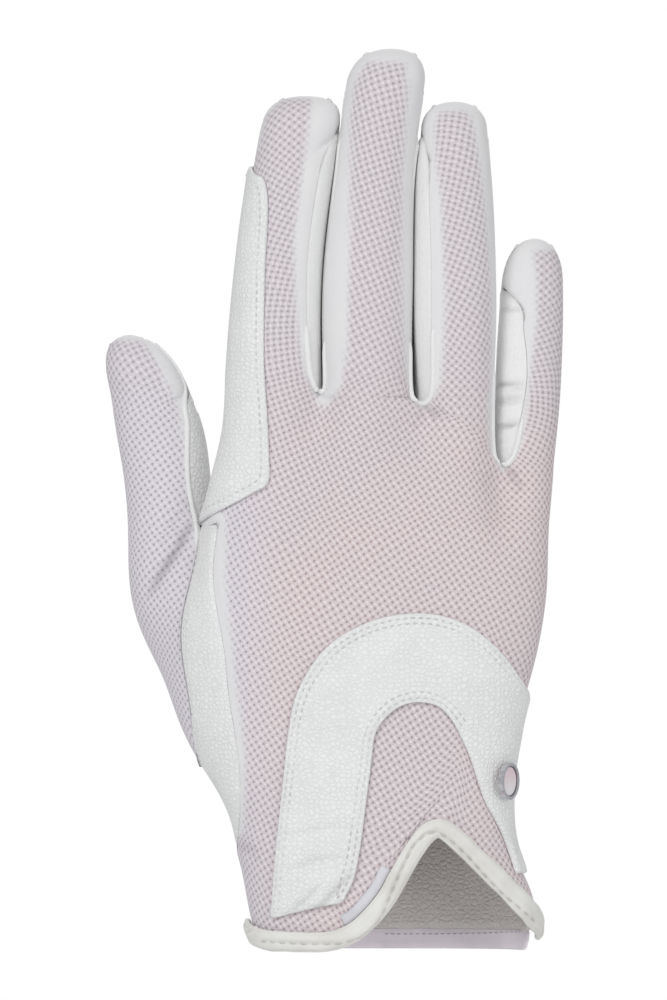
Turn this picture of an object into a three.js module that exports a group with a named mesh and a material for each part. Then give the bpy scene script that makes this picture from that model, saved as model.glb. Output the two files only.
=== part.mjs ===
import * as THREE from "three";

// Riding glove for a right hand, in the form that it has when worn, in millimetres.
// X runs to the little finger, Y into the palm and Z to the fingertips.
// The origin is the centre of the wrist opening, level with the hem.

// Hand of the glove
const palm_length = 142.3;
const palm_width = 81;
const hand_depth = 30;
const thumb_set_back = 13;

// Crotches, as drops below the one between index and middle finger, and the lengths over which the digits
// blend into the hand below them
const middle_crotch_drop = 2.3;
const ring_crotch_drop = 18.4;
const thumb_crotch_drop = 33.7;
const crotch_radius = 2.4;
const ring_crotch_radius = 3;
const thumb_web_radius = 9;
const finger_blend = 26;
const thumb_blend = 34;

// Digits, from crotch to tip
const index_length = 76;
const index_width = 23.8;
const index_depth = 20;
const middle_length = 90.5;
const middle_width = 22.4;
const middle_depth = 20;
const ring_length = 77;
const ring_width = 21.2;
const ring_depth = 19;
const little_length = 58.3;
const little_width = 17;
const little_depth = 16;
const thumb_length = 49;
const thumb_width = 24;
const thumb_depth = 20;
const finger_curl = 9;

// Walls and clearances
const cloth_wall = 1.1;
const leather_wall = 1.3;
const fourchette_wall = 1.1;
const overlay_wall = 1.2;
const seam_gap = 0.34;
const lap_gap = 0.35;
const binding_gap = 0.6;

// Cuff
const hem_height = 5.1;
const binding_width = 4.4;
const binding_wall = 1.8;
const vent_height = 31.8;
const vent_width = 50;
const vent_centre = 11.4;
const facing_width = 2.6;
const facing_wall = 0.6;

// Raised leather pieces
const flap_height = 86.2;
const flap_width = 65;
const flap_centre = 3;
const side_panel_reach = 58.3;
const side_panel_clearance = 1;
const side_panel_slope = 9.6;
const side_panel_crown = 4;
const side_panel_girth = 25;
const badge_radius = 4.7;
const badge_height = 1.3;
const badge_rim = 0.8;

// Grid of the surface: cells across each digit and along it
const cells_round = { thumb: 4, index: 6, middle: 4, ring: 4, little: 5 };
const side_cells = 2;
const strip_cells = 2;
const finger_rows = 11;
const dome_rows = 3;
const wrist_rows = 14;
const badge_sides = 32;

const degrees = Math.PI / 180;
const index_crotch = palm_length;
const middle_crotch = palm_length - middle_crotch_drop;
const ring_crotch = palm_length - ring_crotch_drop;
const thumb_crotch = palm_length - thumb_crotch_drop;
const little_outer_base = ring_crotch - 0.5 * crotch_radius;
const thumb_outer_base = thumb_crotch - thumb_width / 2;
const side_panel_top = index_crotch + side_panel_reach;
const side_panel_bottom = thumb_crotch + side_panel_clearance;
const badge_across = flap_centre + 0.354 * flap_width;
const badge_level = 0.506 * flap_height;

// Cross-sections of the hand, hem first: level as a share of palm_length, the outer edges as shares of
// palm_width, and the depths to the back and to the palm as shares of hand_depth
const hand_sections = [
  { level: 0.0, left: -0.412, right: 0.428, front: 0.6, palm: 0.7 },
  { level: 0.05, left: -0.455, right: 0.442, front: 0.61, palm: 0.7 },
  { level: 0.105, left: -0.469, right: 0.432, front: 0.61, palm: 0.68 },
  { level: 0.18, left: -0.4975, right: 0.373, front: 0.6, palm: 0.67 },
  { level: 0.26, left: -0.536, right: 0.357, front: 0.58, palm: 0.67 },
  { level: 0.35, left: -0.632, right: 0.371, front: 0.56, palm: 0.69 },
  { level: 0.44, left: -0.702, right: 0.403, front: 0.55, palm: 0.7 },
  { level: 0.54, left: -0.752, right: 0.45, front: 0.54, palm: 0.7 },
  { level: 0.65, left: -0.796, right: 0.479, front: 0.52, palm: 0.66 },
  { level: 0.765, left: -0.84, right: 0.482, front: 0.5, palm: 0.6 },
  { level: 0.87, left: -0.86, right: 0.487, front: 0.47, palm: 0.54 },
  { level: 1.0, left: -0.88, right: 0.505, front: 0.43, palm: 0.47 },
];

// Thumb root at the same levels: bare is the hand's edge without the thumb, and wrap and strip are the two
// edges of the leather strip, as shares of palm_width. Set is the share of thumb_set_back.
const thumb_sections = [
  { level: 0.0, bare: -0.412, set: 0.0, wrap: -0.45, strip: -0.425 },
  { level: 0.05, bare: -0.455, set: 0.0, wrap: -0.493, strip: -0.468 },
  { level: 0.105, bare: -0.469, set: 0.0, wrap: -0.507, strip: -0.482 },
  { level: 0.18, bare: -0.4975, set: 0.05, wrap: -0.53, strip: -0.5 },
  { level: 0.26, bare: -0.53, set: 0.15, wrap: -0.548, strip: -0.49 },
  { level: 0.35, bare: -0.57, set: 0.45, wrap: -0.628, strip: -0.494 },
  { level: 0.44, bare: -0.6, set: 0.75, wrap: -0.648, strip: -0.52 },
  { level: 0.54, bare: -0.61, set: 0.95, wrap: -0.676, strip: -0.538 },
  { level: 0.65, bare: -0.615, set: 1.0, wrap: -0.685, strip: -0.556 },
  { level: 0.765, bare: -0.59, set: 1.0, wrap: -0.63, strip: -0.56 },
  { level: 0.87, bare: -0.561, set: 1.0, wrap: -0.6, strip: -0.555 },
  { level: 1.0, bare: -0.521, set: 1.0, wrap: -0.57, strip: -0.54 },
];
const hand_squareness = 2.5;
const digit_squareness = 2.25;
const set_start = 0.35;
const thumb_palm_turn = 0.16 * Math.PI;
const past_side_turn = 2.2;
const root_fullness = 1.06;
const tip_fullness = 0.88;
const tip_seam_run = 0.4;
const side_seam = 12 * degrees;
const bare_back_seam = 182 * degrees;
const bare_palm_seam = 216 * degrees;

// Digits: across is the root's place as a share of palm_width; lean and bow are sideways shifts of the tip
// as shares of the length; back is how far the root lies behind the middle plane, as a share of hand_depth;
// dome is the height of the rounded tip and round its roundness. Roll turns the tip seam, in degrees.
const digits = {
  thumb: {
    across: -0.71, lean: -0.015, bow: -0.2, back: 0.5, curl: 0.1,
    dome: 0.625 * thumb_width, round: 2.0, roll: 14,
    base: thumb_crotch, length: thumb_length, width: thumb_width, depth: thumb_depth,
  },
  index: {
    across: -0.3735, lean: 0.0, bow: 0.1, back: 0.02, curl: 0.8,
    dome: 0.38 * index_width, round: 2.6, roll: 10,
    base: index_crotch, length: index_length, width: index_width, depth: index_depth,
  },
  middle: {
    across: -0.0845, lean: -0.037, bow: 0.102, back: -0.03, curl: 0.9,
    dome: 0.45 * middle_width, round: 2.3, roll: 0,
    base: middle_crotch, length: middle_length, width: middle_width, depth: middle_depth,
  },
  ring: {
    across: 0.191, lean: -0.011, bow: 0.007, back: 0.0, curl: 0.9,
    dome: 0.396 * ring_width, round: 2.2, roll: -6,
    base: middle_crotch, length: ring_length, width: ring_width, depth: ring_depth,
  },
  little: {
    across: 0.406, lean: 0.046, bow: 0.004, back: 0.17, curl: 0.75,
    dome: 0.765 * little_width, round: 2.05, roll: -12,
    base: ring_crotch, length: little_length, width: little_width, depth: little_depth,
  },
};

// Widths along each digit, as shares of its width, from root to the start of the dome
const width_profiles = {
  thumb: [
    { at: 0, share: 0.92 }, { at: 0.35, share: 0.94 },
    { at: 0.7, share: 0.95 }, { at: 1, share: 0.87 },
  ],
  index: [
    { at: 0, share: 1.0 }, { at: 0.35, share: 0.92 },
    { at: 0.7, share: 0.87 }, { at: 1, share: 0.86 },
  ],
  middle: [
    { at: 0, share: 1.0 }, { at: 0.4, share: 1.035 },
    { at: 0.75, share: 0.89 }, { at: 1, share: 0.92 },
  ],
  ring: [
    { at: 0, share: 0.92 }, { at: 0.35, share: 1.01 },
    { at: 0.7, share: 0.96 }, { at: 1, share: 0.83 },
  ],
  little: [
    { at: 0, share: 0.91 }, { at: 0.35, share: 1.0 },
    { at: 0.7, share: 1.0 }, { at: 1, share: 0.95 },
  ],
};

// Seam angles round each digit, in degrees from its little-finger side over the back. A digit with a
// fourchette has a palm seam of its own on that side; without one both panels share the back seam.
const seam_profiles = {
  thumb: [
    { at: 0, right: 62, left: 195, right_palm: -25, left_palm: 195 },
    { at: 0.5, right: 60, left: 195, right_palm: -15, left_palm: 195 },
    { at: 1, right: 34, left: 194, right_palm: 6, left_palm: 194 },
  ],
  index: [
    { at: 0, right: 40, left: 182, right_palm: -30, left_palm: 214 },
    { at: 0.5, right: 54, left: 182, right_palm: -22, left_palm: 212 },
    { at: 1, right: 44, left: 184, right_palm: 6, left_palm: 200 },
  ],
  middle: [
    { at: 0, right: 14, left: 164, right_palm: -38, left_palm: 218 },
    { at: 0.5, right: 12, left: 168, right_palm: -34, left_palm: 214 },
    { at: 1, right: 6, left: 174, right_palm: -10, left_palm: 190 },
  ],
  ring: [
    { at: 0, right: 14, left: 128, right_palm: -43, left_palm: 214 },
    { at: 0.5, right: 10, left: 123, right_palm: -34, left_palm: 206 },
    { at: 1, right: 2, left: 138, right_palm: -16, left_palm: 184 },
  ],
  little: [
    { at: 0, right: -12, left: 112, right_palm: -12, left_palm: 214 },
    { at: 0.5, right: -12, left: 92, right_palm: -12, left_palm: 200 },
    { at: 1, right: -12, left: 112, right_palm: -12, left_palm: 172 },
  ],
};

// Centre line of the bound edge of the back: across as a share of vent_width, from the vent's apex;
// level as a share of vent_height
const binding_line = [
  { across: -1.02, level: 0.2 },
  { across: -0.955, level: 0.16 },
  { across: -0.88, level: 0.115 },
  { across: -0.75, level: 0.1 },
  { across: -0.57, level: 0.1 },
  { across: -0.45, level: 0.163 },
  { across: -0.358, level: 0.283 },
  { across: -0.268, level: 0.456 },
  { across: -0.208, level: 0.629 },
  { across: -0.138, level: 0.818 },
  { across: -0.068, level: 0.959 },
  { across: 0.0, level: 0.994 },
  { across: 0.076, level: 0.906 },
  { across: 0.172, level: 0.755 },
  { across: 0.292, level: 0.566 },
  { across: 0.412, level: 0.362 },
  { across: 0.502, level: 0.19 },
  { across: 0.55, level: 0.165 },
];

// Arch of the closure flap, from the foot of the left leg over the top: edges as shares of flap_width
// from its centre and of flap_height. A place past the side of the hand is measured on round the side.
const flap_line = [
  { outer: -0.524, outer_level: 0.105, inner: -0.254, inner_level: 0.15 },
  { outer: -0.517, outer_level: 0.2, inner: -0.208, inner_level: 0.22 },
  { outer: -0.502, outer_level: 0.348, inner: -0.18, inner_level: 0.33 },
  { outer: -0.482, outer_level: 0.499, inner: -0.16, inner_level: 0.45 },
  { outer: -0.462, outer_level: 0.65, inner: -0.14, inner_level: 0.56 },
  { outer: -0.423, outer_level: 0.777, inner: -0.125, inner_level: 0.645 },
  { outer: -0.315, outer_level: 0.899, inner: -0.077, inner_level: 0.7 },
  { outer: -0.14, outer_level: 0.977, inner: -0.015, inner_level: 0.731 },
  { outer: 0.052, outer_level: 1.0, inner: 0.052, inner_level: 0.739 },
  { outer: 0.215, outer_level: 0.972, inner: 0.123, inner_level: 0.725 },
  { outer: 0.346, outer_level: 0.899, inner: 0.177, inner_level: 0.68 },
  { outer: 0.438, outer_level: 0.806, inner: 0.217, inner_level: 0.621 },
  { outer: 0.476, outer_level: 0.745, inner: 0.24, inner_level: 0.58 },
  { outer: 0.487, outer_level: 0.67, inner: 0.262, inner_level: 0.531 },
  { outer: 0.496, outer_level: 0.557, inner: 0.298, inner_level: 0.447 },
  { outer: 0.49, outer_level: 0.418, inner: 0.354, inner_level: 0.367 },
  { outer: 0.477, outer_level: 0.302, inner: 0.394, inner_level: 0.29 },
  { outer: 0.459, outer_level: 0.23, inner: 0.419, inner_level: 0.231 },
];

// Side panel of the index finger: level as a share of its height, its edge on the back as a share of
// palm_width, and its reach round the finger as a share of side_panel_girth
const side_panel_line = [
  { level: 0, edge: -0.4, girth: 1.0 },
  { level: 0.18, edge: -0.394, girth: 0.98 },
  { level: 0.45, edge: -0.41, girth: 0.84 },
  { level: 0.7, edge: -0.406, girth: 0.72 },
  { level: 0.9, edge: -0.397, girth: 0.62 },
  { level: 1.0, edge: -0.418, girth: 0.52 },
];
const side_panel_roundness = 1.7;

// Smooth curve through the rows of a table: the value of one column at a place in another
function along(rows, key, at, place) {
  const last = rows.length - 1;
  let i = 0;
  while (i < last - 1 && at > rows[i + 1][place]) i += 1;
  const slope = (j) => {
    const a = rows[Math.max(0, j - 1)];
    const b = rows[Math.min(last, j + 1)];
    return (b[key] - a[key]) / (b[place] - a[place]);
  };
  const step = rows[i + 1][place] - rows[i][place];
  const t = THREE.MathUtils.clamp((at - rows[i][place]) / step, 0, 1);
  const t2 = t * t;
  const t3 = t2 * t;
  return (2 * t3 - 3 * t2 + 1) * rows[i][key] + (t3 - 2 * t2 + t) * step * slope(i)
    + (3 * t2 - 2 * t3) * rows[i + 1][key] + (t3 - t2) * step * slope(i + 1);
}

const range = (count) => Array.from({ length: count + 1 }, (_, i) => i / count);
const smooth = (t) => THREE.MathUtils.smoothstep(t, 0, 1);
const mix = THREE.MathUtils.lerp;
const power = (value, exponent) => Math.sign(value) * Math.abs(value) ** exponent;

// Section of the hand at a level, with the thumb root or without it
function handSection(z, with_thumb) {
  const read = (key) => along(hand_sections, key, z / palm_length, "level");
  const root = (key) => along(thumb_sections, key, z / palm_length, "level");
  const left = (with_thumb ? read("left") : root("bare")) * palm_width;
  const right = read("right") * palm_width;
  return {
    centre: (left + right) / 2,
    half: (right - left) / 2,
    front: read("front") * hand_depth,
    palm: read("palm") * hand_depth,
    set: with_thumb ? root("set") * thumb_set_back : 0,
  };
}

function handPoint(z, angle, with_thumb) {
  const section = handSection(z, with_thumb);
  const across = power(Math.cos(angle), 2 / hand_squareness);
  const deep = power(Math.sin(angle), 2 / hand_squareness);
  const set = section.set * Math.max(0, (-across - set_start) / (1 - set_start)) ** 2;
  const y = set - (deep > 0 ? section.front : section.palm) * deep;
  return new THREE.Vector3(section.centre + section.half * across, y, z);
}

// Angle on the front of the hand's section whose point lies at a place across
function frontAngle(z, x, with_thumb) {
  const section = handSection(z, with_thumb);
  const across = THREE.MathUtils.clamp((x - section.centre) / section.half, -1, 1);
  return Math.acos(power(across, hand_squareness / 2));
}

// Centre and half sizes of a digit at a level; below its root it runs straight on
function digitSection(name, z) {
  const digit = digits[name];
  const v = (z - digit.base) / digit.length;
  const up = Math.max(0, v);
  const shares = width_profiles[name];
  const start = 1 - digit.dome / digit.length;
  const share = along(shares, "share", THREE.MathUtils.clamp(up / start, 0, 1), "at");
  return {
    x: digit.across * palm_width + (digit.lean * v + digit.bow * up * up) * digit.length,
    y: digit.back * hand_depth + digit.curl * finger_curl * up * up,
    half: (share * digit.width) / 2,
    deep: (digit.depth / 2) * mix(root_fullness, tip_fullness, Math.min(1, up)),
  };
}

function digitPoint(name, z, angle, radius = 1) {
  const section = digitSection(name, z);
  const exponent = 2 / digit_squareness;
  const x = section.x + section.half * radius * power(Math.cos(angle), exponent);
  const y = section.y - section.deep * radius * power(Math.sin(angle), exponent);
  return new THREE.Vector3(x, y, z);
}

// Seam angle of a digit at a level
function seamAngle(name, key, z) {
  const digit = digits[name];
  const start = digit.base + digit.length - digit.dome;
  const at = THREE.MathUtils.clamp((z - digit.base) / (start - digit.base), 0, 1);
  if (at >= 1) return (key.startsWith("right") ? digit.roll : 180 + digit.roll) * degrees;
  return along(seam_profiles[name], key, at, "at") * degrees;
}

// Layout of the columns round each digit. A fourchette lies on a side that faces another finger.
const order = ["thumb", "index", "middle", "ring", "little"];
const crotches = [
  { left: "thumb", right: "index", level: thumb_crotch, radius: thumb_web_radius },
  { left: "index", right: "middle", level: index_crotch, radius: crotch_radius },
  { left: "middle", right: "ring", level: middle_crotch, radius: crotch_radius },
  { left: "ring", right: "little", level: ring_crotch, radius: ring_crotch_radius },
];
const base_levels = {
  thumb: { left: thumb_outer_base, right: thumb_crotch },
  index: { left: index_crotch, right: index_crotch },
  middle: { left: index_crotch, right: middle_crotch },
  ring: { left: middle_crotch, right: ring_crotch },
  little: { left: ring_crotch, right: little_outer_base },
};

// Angle of a column of one zone of a digit: share 0 is the zone's left or front end
function zoneAngle(name, zone, share, z) {
  const full = 2 * Math.PI;
  const right = seamAngle(name, "right", z);
  const left = seamAngle(name, "left", z);
  const right_palm = seamAngle(name, "right_palm", z);
  const left_palm = seamAngle(name, "left_palm", z);
  if (zone === "back") return mix(left, right, share);
  if (zone === "palm") return mix(left_palm, right_palm + full, share);
  if (zone === "right_side") return mix(right, right_palm, share);
  return mix(left, left_palm, share);
}

// Meeting line of two fingers in a crotch, from the back seam to the palm seam
function crotchPoint(crotch, share, z) {
  const left = digitPoint(crotch.left, z, zoneAngle(crotch.left, "right_side", share, z));
  const right = crotch.left === "thumb"
    ? handPoint(z, mix(bare_back_seam, bare_palm_seam, share), false)
    : digitPoint(crotch.right, z, zoneAngle(crotch.right, "left_side", share, z));
  return left.add(right).multiplyScalar(0.5);
}

function crotchBeside(name, side) {
  return crotches.find((crotch) => crotch[side === "left" ? "right" : "left"] === name);
}

// Pull towards the crotch that rounds the fork between two fingers
function forkPull(crotch, z) {
  const t = THREE.MathUtils.clamp((z - crotch.level) / crotch.radius, 0, 1);
  return 1 - Math.sqrt(1 - (1 - t) ** 2);
}

// Point of a digit's surface at a level, drawn into the crotches beside it
function fingerPoint(name, zone, share, z) {
  const point = digitPoint(name, z, zoneAngle(name, zone, share, z));
  const draw = (side, at) => {
    const crotch = crotchBeside(name, side);
    if (!crotch || (side === "left" && name === "index")) return;
    const pull = forkPull(crotch, z);
    if (pull > 0) point.lerp(crotchPoint(crotch, at, crotch.level).setZ(z), pull);
  };
  if (zone === "right_side") draw("right", share);
  if (zone === "left_side") draw("left", share);
  if ((zone === "back" || zone === "palm") && share === 1) draw("right", zone === "back" ? 0 : 1);
  if ((zone === "back" || zone === "palm") && share === 0) draw("left", zone === "back" ? 0 : 1);
  return point;
}

// Columns of the back, or of the palm, from the thumb's outer seam to the little finger's outer seam.
// A column between two digits belongs to both.
function columnsOf(zone) {
  const columns = [];
  order.forEach((name, n) => {
    const count = cells_round[name];
    for (let k = n === 0 ? 0 : 1; k <= count; k += 1) {
      columns.push({ name, zone, share: k / count, k, next: k === count ? order[n + 1] : undefined });
    }
  });
  return columns;
}
const back_columns = columnsOf("back");
const palm_columns = columnsOf("palm");
const thumb_columns = cells_round.thumb;

// Level where a column leaves its digit for the hand
function baseLevel(column) {
  const ends = base_levels[column.name];
  return mix(ends.left, ends.right, column.share);
}

// Fixed angle of one end of a digit's columns on the hand without the thumb
function rayAngle(name, zone, side) {
  const back = zone === "back";
  if (side === "left" && name === "index") return back ? bare_back_seam : bare_palm_seam;
  if (side === "right" && name === "little") return back ? -side_seam : 2 * Math.PI - side_seam;
  const crotch = crotchBeside(name, side);
  const x = crotchPoint(crotch, back ? 0 : 1, crotch.level).x;
  const angle = frontAngle(crotch.level, x, false);
  return back ? angle : 2 * Math.PI - angle;
}

function bareAngle({ name, zone, share }) {
  return mix(rayAngle(name, zone, "left"), rayAngle(name, zone, "right"), share);
}

// Angle of a column on the hand with the thumb root in it: the leather strip's edges keep their places
function rootAngle(column, z) {
  const read = (key) => along(thumb_sections, key, z / palm_length, "level") * palm_width;
  const wrap = edgeAngle(z, read("wrap"));
  const strip = edgeAngle(z, read("strip"));
  const left_seam = Math.PI + side_seam;
  if (column.zone === "back") {
    if (column.name === "thumb") return mix(left_seam, wrap, column.share);
    if (column.name === "index" && column.k <= strip_cells) return mix(wrap, strip, column.k / strip_cells);
    const share_at_strip = strip_cells / cells_round.index;
    const first = bareAngle({ name: "index", zone: "back", share: share_at_strip });
    const share = (bareAngle(column) - first) / (-side_seam - first);
    return mix(strip, -side_seam, share);
  }
  const right_seam = 2 * Math.PI - side_seam;
  const root_turn = smooth(z / palm_length) * thumb_palm_turn;
  if (column.name === "thumb") return left_seam + column.share * root_turn;
  const start = left_seam + root_turn;
  const bare = (bareAngle(column) - bare_palm_seam) / (right_seam - bare_palm_seam);
  return mix(start, right_seam, bare);
}

// Front angle of a place across; a place past the thumb side runs on behind it
function edgeAngle(z, x) {
  const section = handSection(z, true);
  const past = Math.max(0, (section.centre - section.half - x) / section.half);
  return frontAngle(z, x, true) + Math.min(past * past_side_turn, 0.8 * side_seam);
}

// Point of the hand on one column at a level, below the column's own digit
function palmPoint(column, z) {
  const base = baseLevel(column);
  let upper;
  if (column.next) upper = crotchPoint(crotchBeside(column.next, "left"), column.zone === "back" ? 0 : 1, z);
  else upper = digitPoint(column.name, z, zoneAngle(column.name, column.zone, column.share, z));
  if (column.name !== "thumb") {
    upper.lerp(handPoint(z, bareAngle(column), false), smooth((base - z) / finger_blend));
  }
  const start = column.name === "thumb" ? base : thumb_crotch;
  return upper.lerp(handPoint(z, rootAngle(column, z), true), smooth((start - z) / thumb_blend));
}

// Side of the hand between the thumb crotch and the index finger's root, from back seam to palm seam
function handEdgePoint(z, share) {
  const hand = handPoint(z, mix(bare_back_seam, bare_palm_seam, share), false);
  const digit = digitPoint("index", z, zoneAngle("index", "left_side", share, z));
  const point = digit.lerp(hand, smooth((index_crotch - z) / finger_blend));
  const crotch = crotches[0];
  return point.lerp(crotchPoint(crotch, share, crotch.level).setZ(z), forkPull(crotch, z));
}

// Bound edge of the back as a curve, and the level of the panel's free edge above it
const bindingAt = (share, key) => {
  const last = binding_line.length - 1;
  const rows = binding_line.map((row, i) => ({ ...row, at: i / last }));
  return along(rows, key, share, "at");
};
const bindingPoint = (share) => new THREE.Vector2(
  vent_centre + bindingAt(share, "across") * vent_width,
  bindingAt(share, "level") * vent_height,
);
const binding_steps = 40;
const binding_curve = range(binding_steps).map(bindingPoint);

function backEdge(x) {
  const first = binding_curve[0];
  const last = binding_curve[binding_steps];
  if (x <= first.x) return first.y;
  if (x >= last.x) return last.y;
  const i = binding_curve.findIndex((p) => p.x > x);
  const a = binding_curve[i - 1];
  const b = binding_curve[i];
  return mix(a.y, b.y, (x - a.x) / (b.x - a.x));
}

// Lowest level of a column: the bound edge on the back, the hem on the palm
function footLevel(column) {
  if (column.zone === "palm") return hem_height;
  if (column.name === "thumb" && column.share === 0) return hem_height;
  if (column.name === "little" && column.share === 1) return hem_height;
  let level = hem_height;
  for (let step = 0; step < 4; step += 1) level = Math.max(backEdge(palmPoint(column, level).x), 1);
  return level;
}

// Grid cells of the whole surface, each with the piece that it belongs to
const cells = [];
function addGrid(grid, pieceOf, flip) {
  for (let r = 0; r + 1 < grid.length; r += 1) {
    for (let c = 0; c + 1 < grid[r].length; c += 1) {
      const corners = [grid[r][c], grid[r][c + 1], grid[r + 1][c + 1], grid[r + 1][c]];
      cells.push({ piece: pieceOf(r, c), corners: flip ? corners.reverse() : corners });
    }
  }
}

// Levels of a digit's rows, dome start first, closer together in the fork
function fingerLevel(name, base, row) {
  const digit = digits[name];
  const top = digit.base + digit.length - digit.dome;
  const radius = crotchBeside(name, name === "thumb" ? "right" : "left").radius;
  const fork = [0, 0.3 * radius, radius];
  const from_base = finger_rows - row;
  if (from_base < fork.length) return base + fork[from_base];
  const start = base + radius;
  return mix(start, top, (from_base - 2) / (finger_rows - 2));
}

function zoneBase(name, zone, share) {
  const ends = base_levels[name];
  if (zone === "right_side") return ends.right;
  if (zone === "left_side") return ends.left;
  return mix(ends.left, ends.right, share);
}

function zoneCells(name, zone) {
  return zone.endsWith("side") ? side_cells : cells_round[name];
}

function fingerGrid(name, zone) {
  const count = zoneCells(name, zone);
  return Array.from({ length: finger_rows + 1 }, (_, row) => Array.from({ length: count + 1 }, (_, k) => {
    const share = k / count;
    const z = fingerLevel(name, zoneBase(name, zone, share), row);
    return fingerPoint(name, zone, share, z);
  }));
}

// Rounded tip: half of it belongs to the back and half to the palm, and they meet over the top
function domeGrid(name, zone) {
  const digit = digits[name];
  const count = zoneCells(name, zone);
  const start = digit.base + digit.length - digit.dome;
  const roll = digit.roll * degrees;
  return Array.from({ length: dome_rows + 1 }, (_, i) => Array.from({ length: count + 1 }, (_, k) => {
    const shrink = 1 - Math.cos(((dome_rows - i) / dome_rows) * (Math.PI / 2));
    const turn = zone === "back" ? Math.PI * (1 - k / count) : Math.PI * (1 + k / count);
    const x = Math.cos(turn) * (1 - shrink * tip_seam_run);
    const y = Math.sin(turn) * (1 - shrink);
    const radius = Math.min(1, Math.hypot(x, y));
    const rise = digit.dome * (1 - radius ** digit.round) ** (1 / digit.round);
    const point = digitPoint(name, start, Math.atan2(y, x) + roll, radius);
    const lifted = digitSection(name, start + rise);
    const level = digitSection(name, start);
    point.x += lifted.x - level.x;
    point.y += lifted.y - level.y;
    return point.setZ(start + rise);
  }));
}

const panel_of = { back: "back_panel", palm: "palm_panel" };
const thumb_panel_of = { back: "thumb_back", palm: "thumb_palm" };
const side_panels = {
  thumb_right_side: "thumb_palm", index_left_side: "palm_panel",
  index_right_side: "fourchette_index_middle", middle_left_side: "fourchette_index_middle",
  middle_right_side: "fourchette_middle_ring", ring_left_side: "fourchette_middle_ring",
  ring_right_side: "fourchette_ring_little", little_left_side: "fourchette_ring_little",
};

order.forEach((name) => {
  ["back", "palm"].forEach((zone) => {
    const piece = (name === "thumb" ? thumb_panel_of : panel_of)[zone];
    addGrid(fingerGrid(name, zone), () => piece, zone === "back");
    addGrid(domeGrid(name, zone), () => piece, zone === "back");
  });
  ["left_side", "right_side"].forEach((zone) => {
    const piece = side_panels[name + "_" + zone];
    if (piece) addGrid(fingerGrid(name, zone), () => piece, zone === "right_side");
  });
});

// Knuckle rows run from the finger roots down to the thumb crotch, closer together at its web
const knuckle_steps = [0, 0.2, 0.4, 0.6, 0.78, 0.91, 1];
function knuckleGrid(columns) {
  const hand = columns.slice(zoneCells("thumb", "back"));
  const seam = columns === back_columns ? 0 : 1;
  return knuckle_steps.map((step) => hand.map((column, c) => {
    const base = c === 0 ? index_crotch : baseLevel(column);
    const z = mix(base, thumb_crotch, step);
    return c === 0 ? handEdgePoint(z, seam) : palmPoint(column, z);
  }));
}
function knuckleSideGrid() {
  const shares = range(side_cells);
  return knuckle_steps.map((step) => {
    const z = mix(index_crotch, thumb_crotch, step);
    return shares.map((share) => handEdgePoint(z, share));
  });
}

// Wrist rows run from the thumb crotch and the thumb's root down to the cuff
function wristGrid(columns) {
  return Array.from({ length: wrist_rows + 1 }, (_, row) => columns.map((column) => {
    const top = column.name === "thumb" ? baseLevel(column) : thumb_crotch;
    const z = mix(top, footLevel(column), row / wrist_rows);
    return palmPoint(column, z);
  }));
}

// Rows of the leather strip, and of the thumb's two panels, below the thumb crotch
const wrap_rows = Math.round(0.79 * wrist_rows);
const thumb_back_rows = Math.round(0.57 * wrist_rows);
const thumb_palm_rows = Math.round(0.36 * wrist_rows);
function backPiece(row, c) {
  if (c < thumb_columns) return row < thumb_back_rows ? "thumb_back" : "back_panel";
  if (c < thumb_columns + strip_cells) return row < wrap_rows ? "thumb_base_wrap" : "back_panel";
  return "back_panel";
}
function palmPiece(row, c) {
  return c < thumb_columns && row < thumb_palm_rows ? "thumb_palm" : "palm_panel";
}

addGrid(knuckleGrid(back_columns), () => "back_panel", true);
addGrid(knuckleGrid(palm_columns), () => "palm_panel", false);
addGrid(knuckleSideGrid(), () => "palm_panel", false);
addGrid(wristGrid(back_columns), backPiece, true);
addGrid(wristGrid(palm_columns), palmPiece, false);
const hem_levels = [hem_height, hem_height / 2, 0];
const hem_grid = hem_levels.map((z) => palm_columns.map((column) => palmPoint(column, z)));
addGrid(hem_grid, () => "palm_hem", false);

// Shared corners of the cells, with one smooth outward normal each
const nodes = [];
const node_of = new Map();
function nodeAt(point) {
  const key = [point.x, point.y, point.z].map((value) => Math.round(value * 1000)).join(" ");
  if (!node_of.has(key)) {
    node_of.set(key, nodes.length);
    nodes.push({ point: point.clone(), normal: new THREE.Vector3() });
  }
  return node_of.get(key);
}

function faceNormal(corners) {
  const [a, b, c, d = c] = corners;
  const first = c.clone().sub(a);
  const second = d.clone().sub(b);
  return first.cross(corners.length > 3 ? second : b.clone().sub(a).negate());
}

const quads = cells.map(({ piece, corners }) => {
  const found = corners.map(nodeAt);
  const ring = found.filter((index, i) => index !== found[(i + found.length - 1) % found.length]);
  return { piece, ring };
}).filter((quad) => quad.ring.length > 2);
quads.forEach(({ ring }) => {
  const normal = faceNormal(ring.map((index) => nodes[index].point));
  ring.forEach((index) => nodes[index].normal.add(normal));
});
nodes.forEach((node) => node.normal.normalize());

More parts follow.
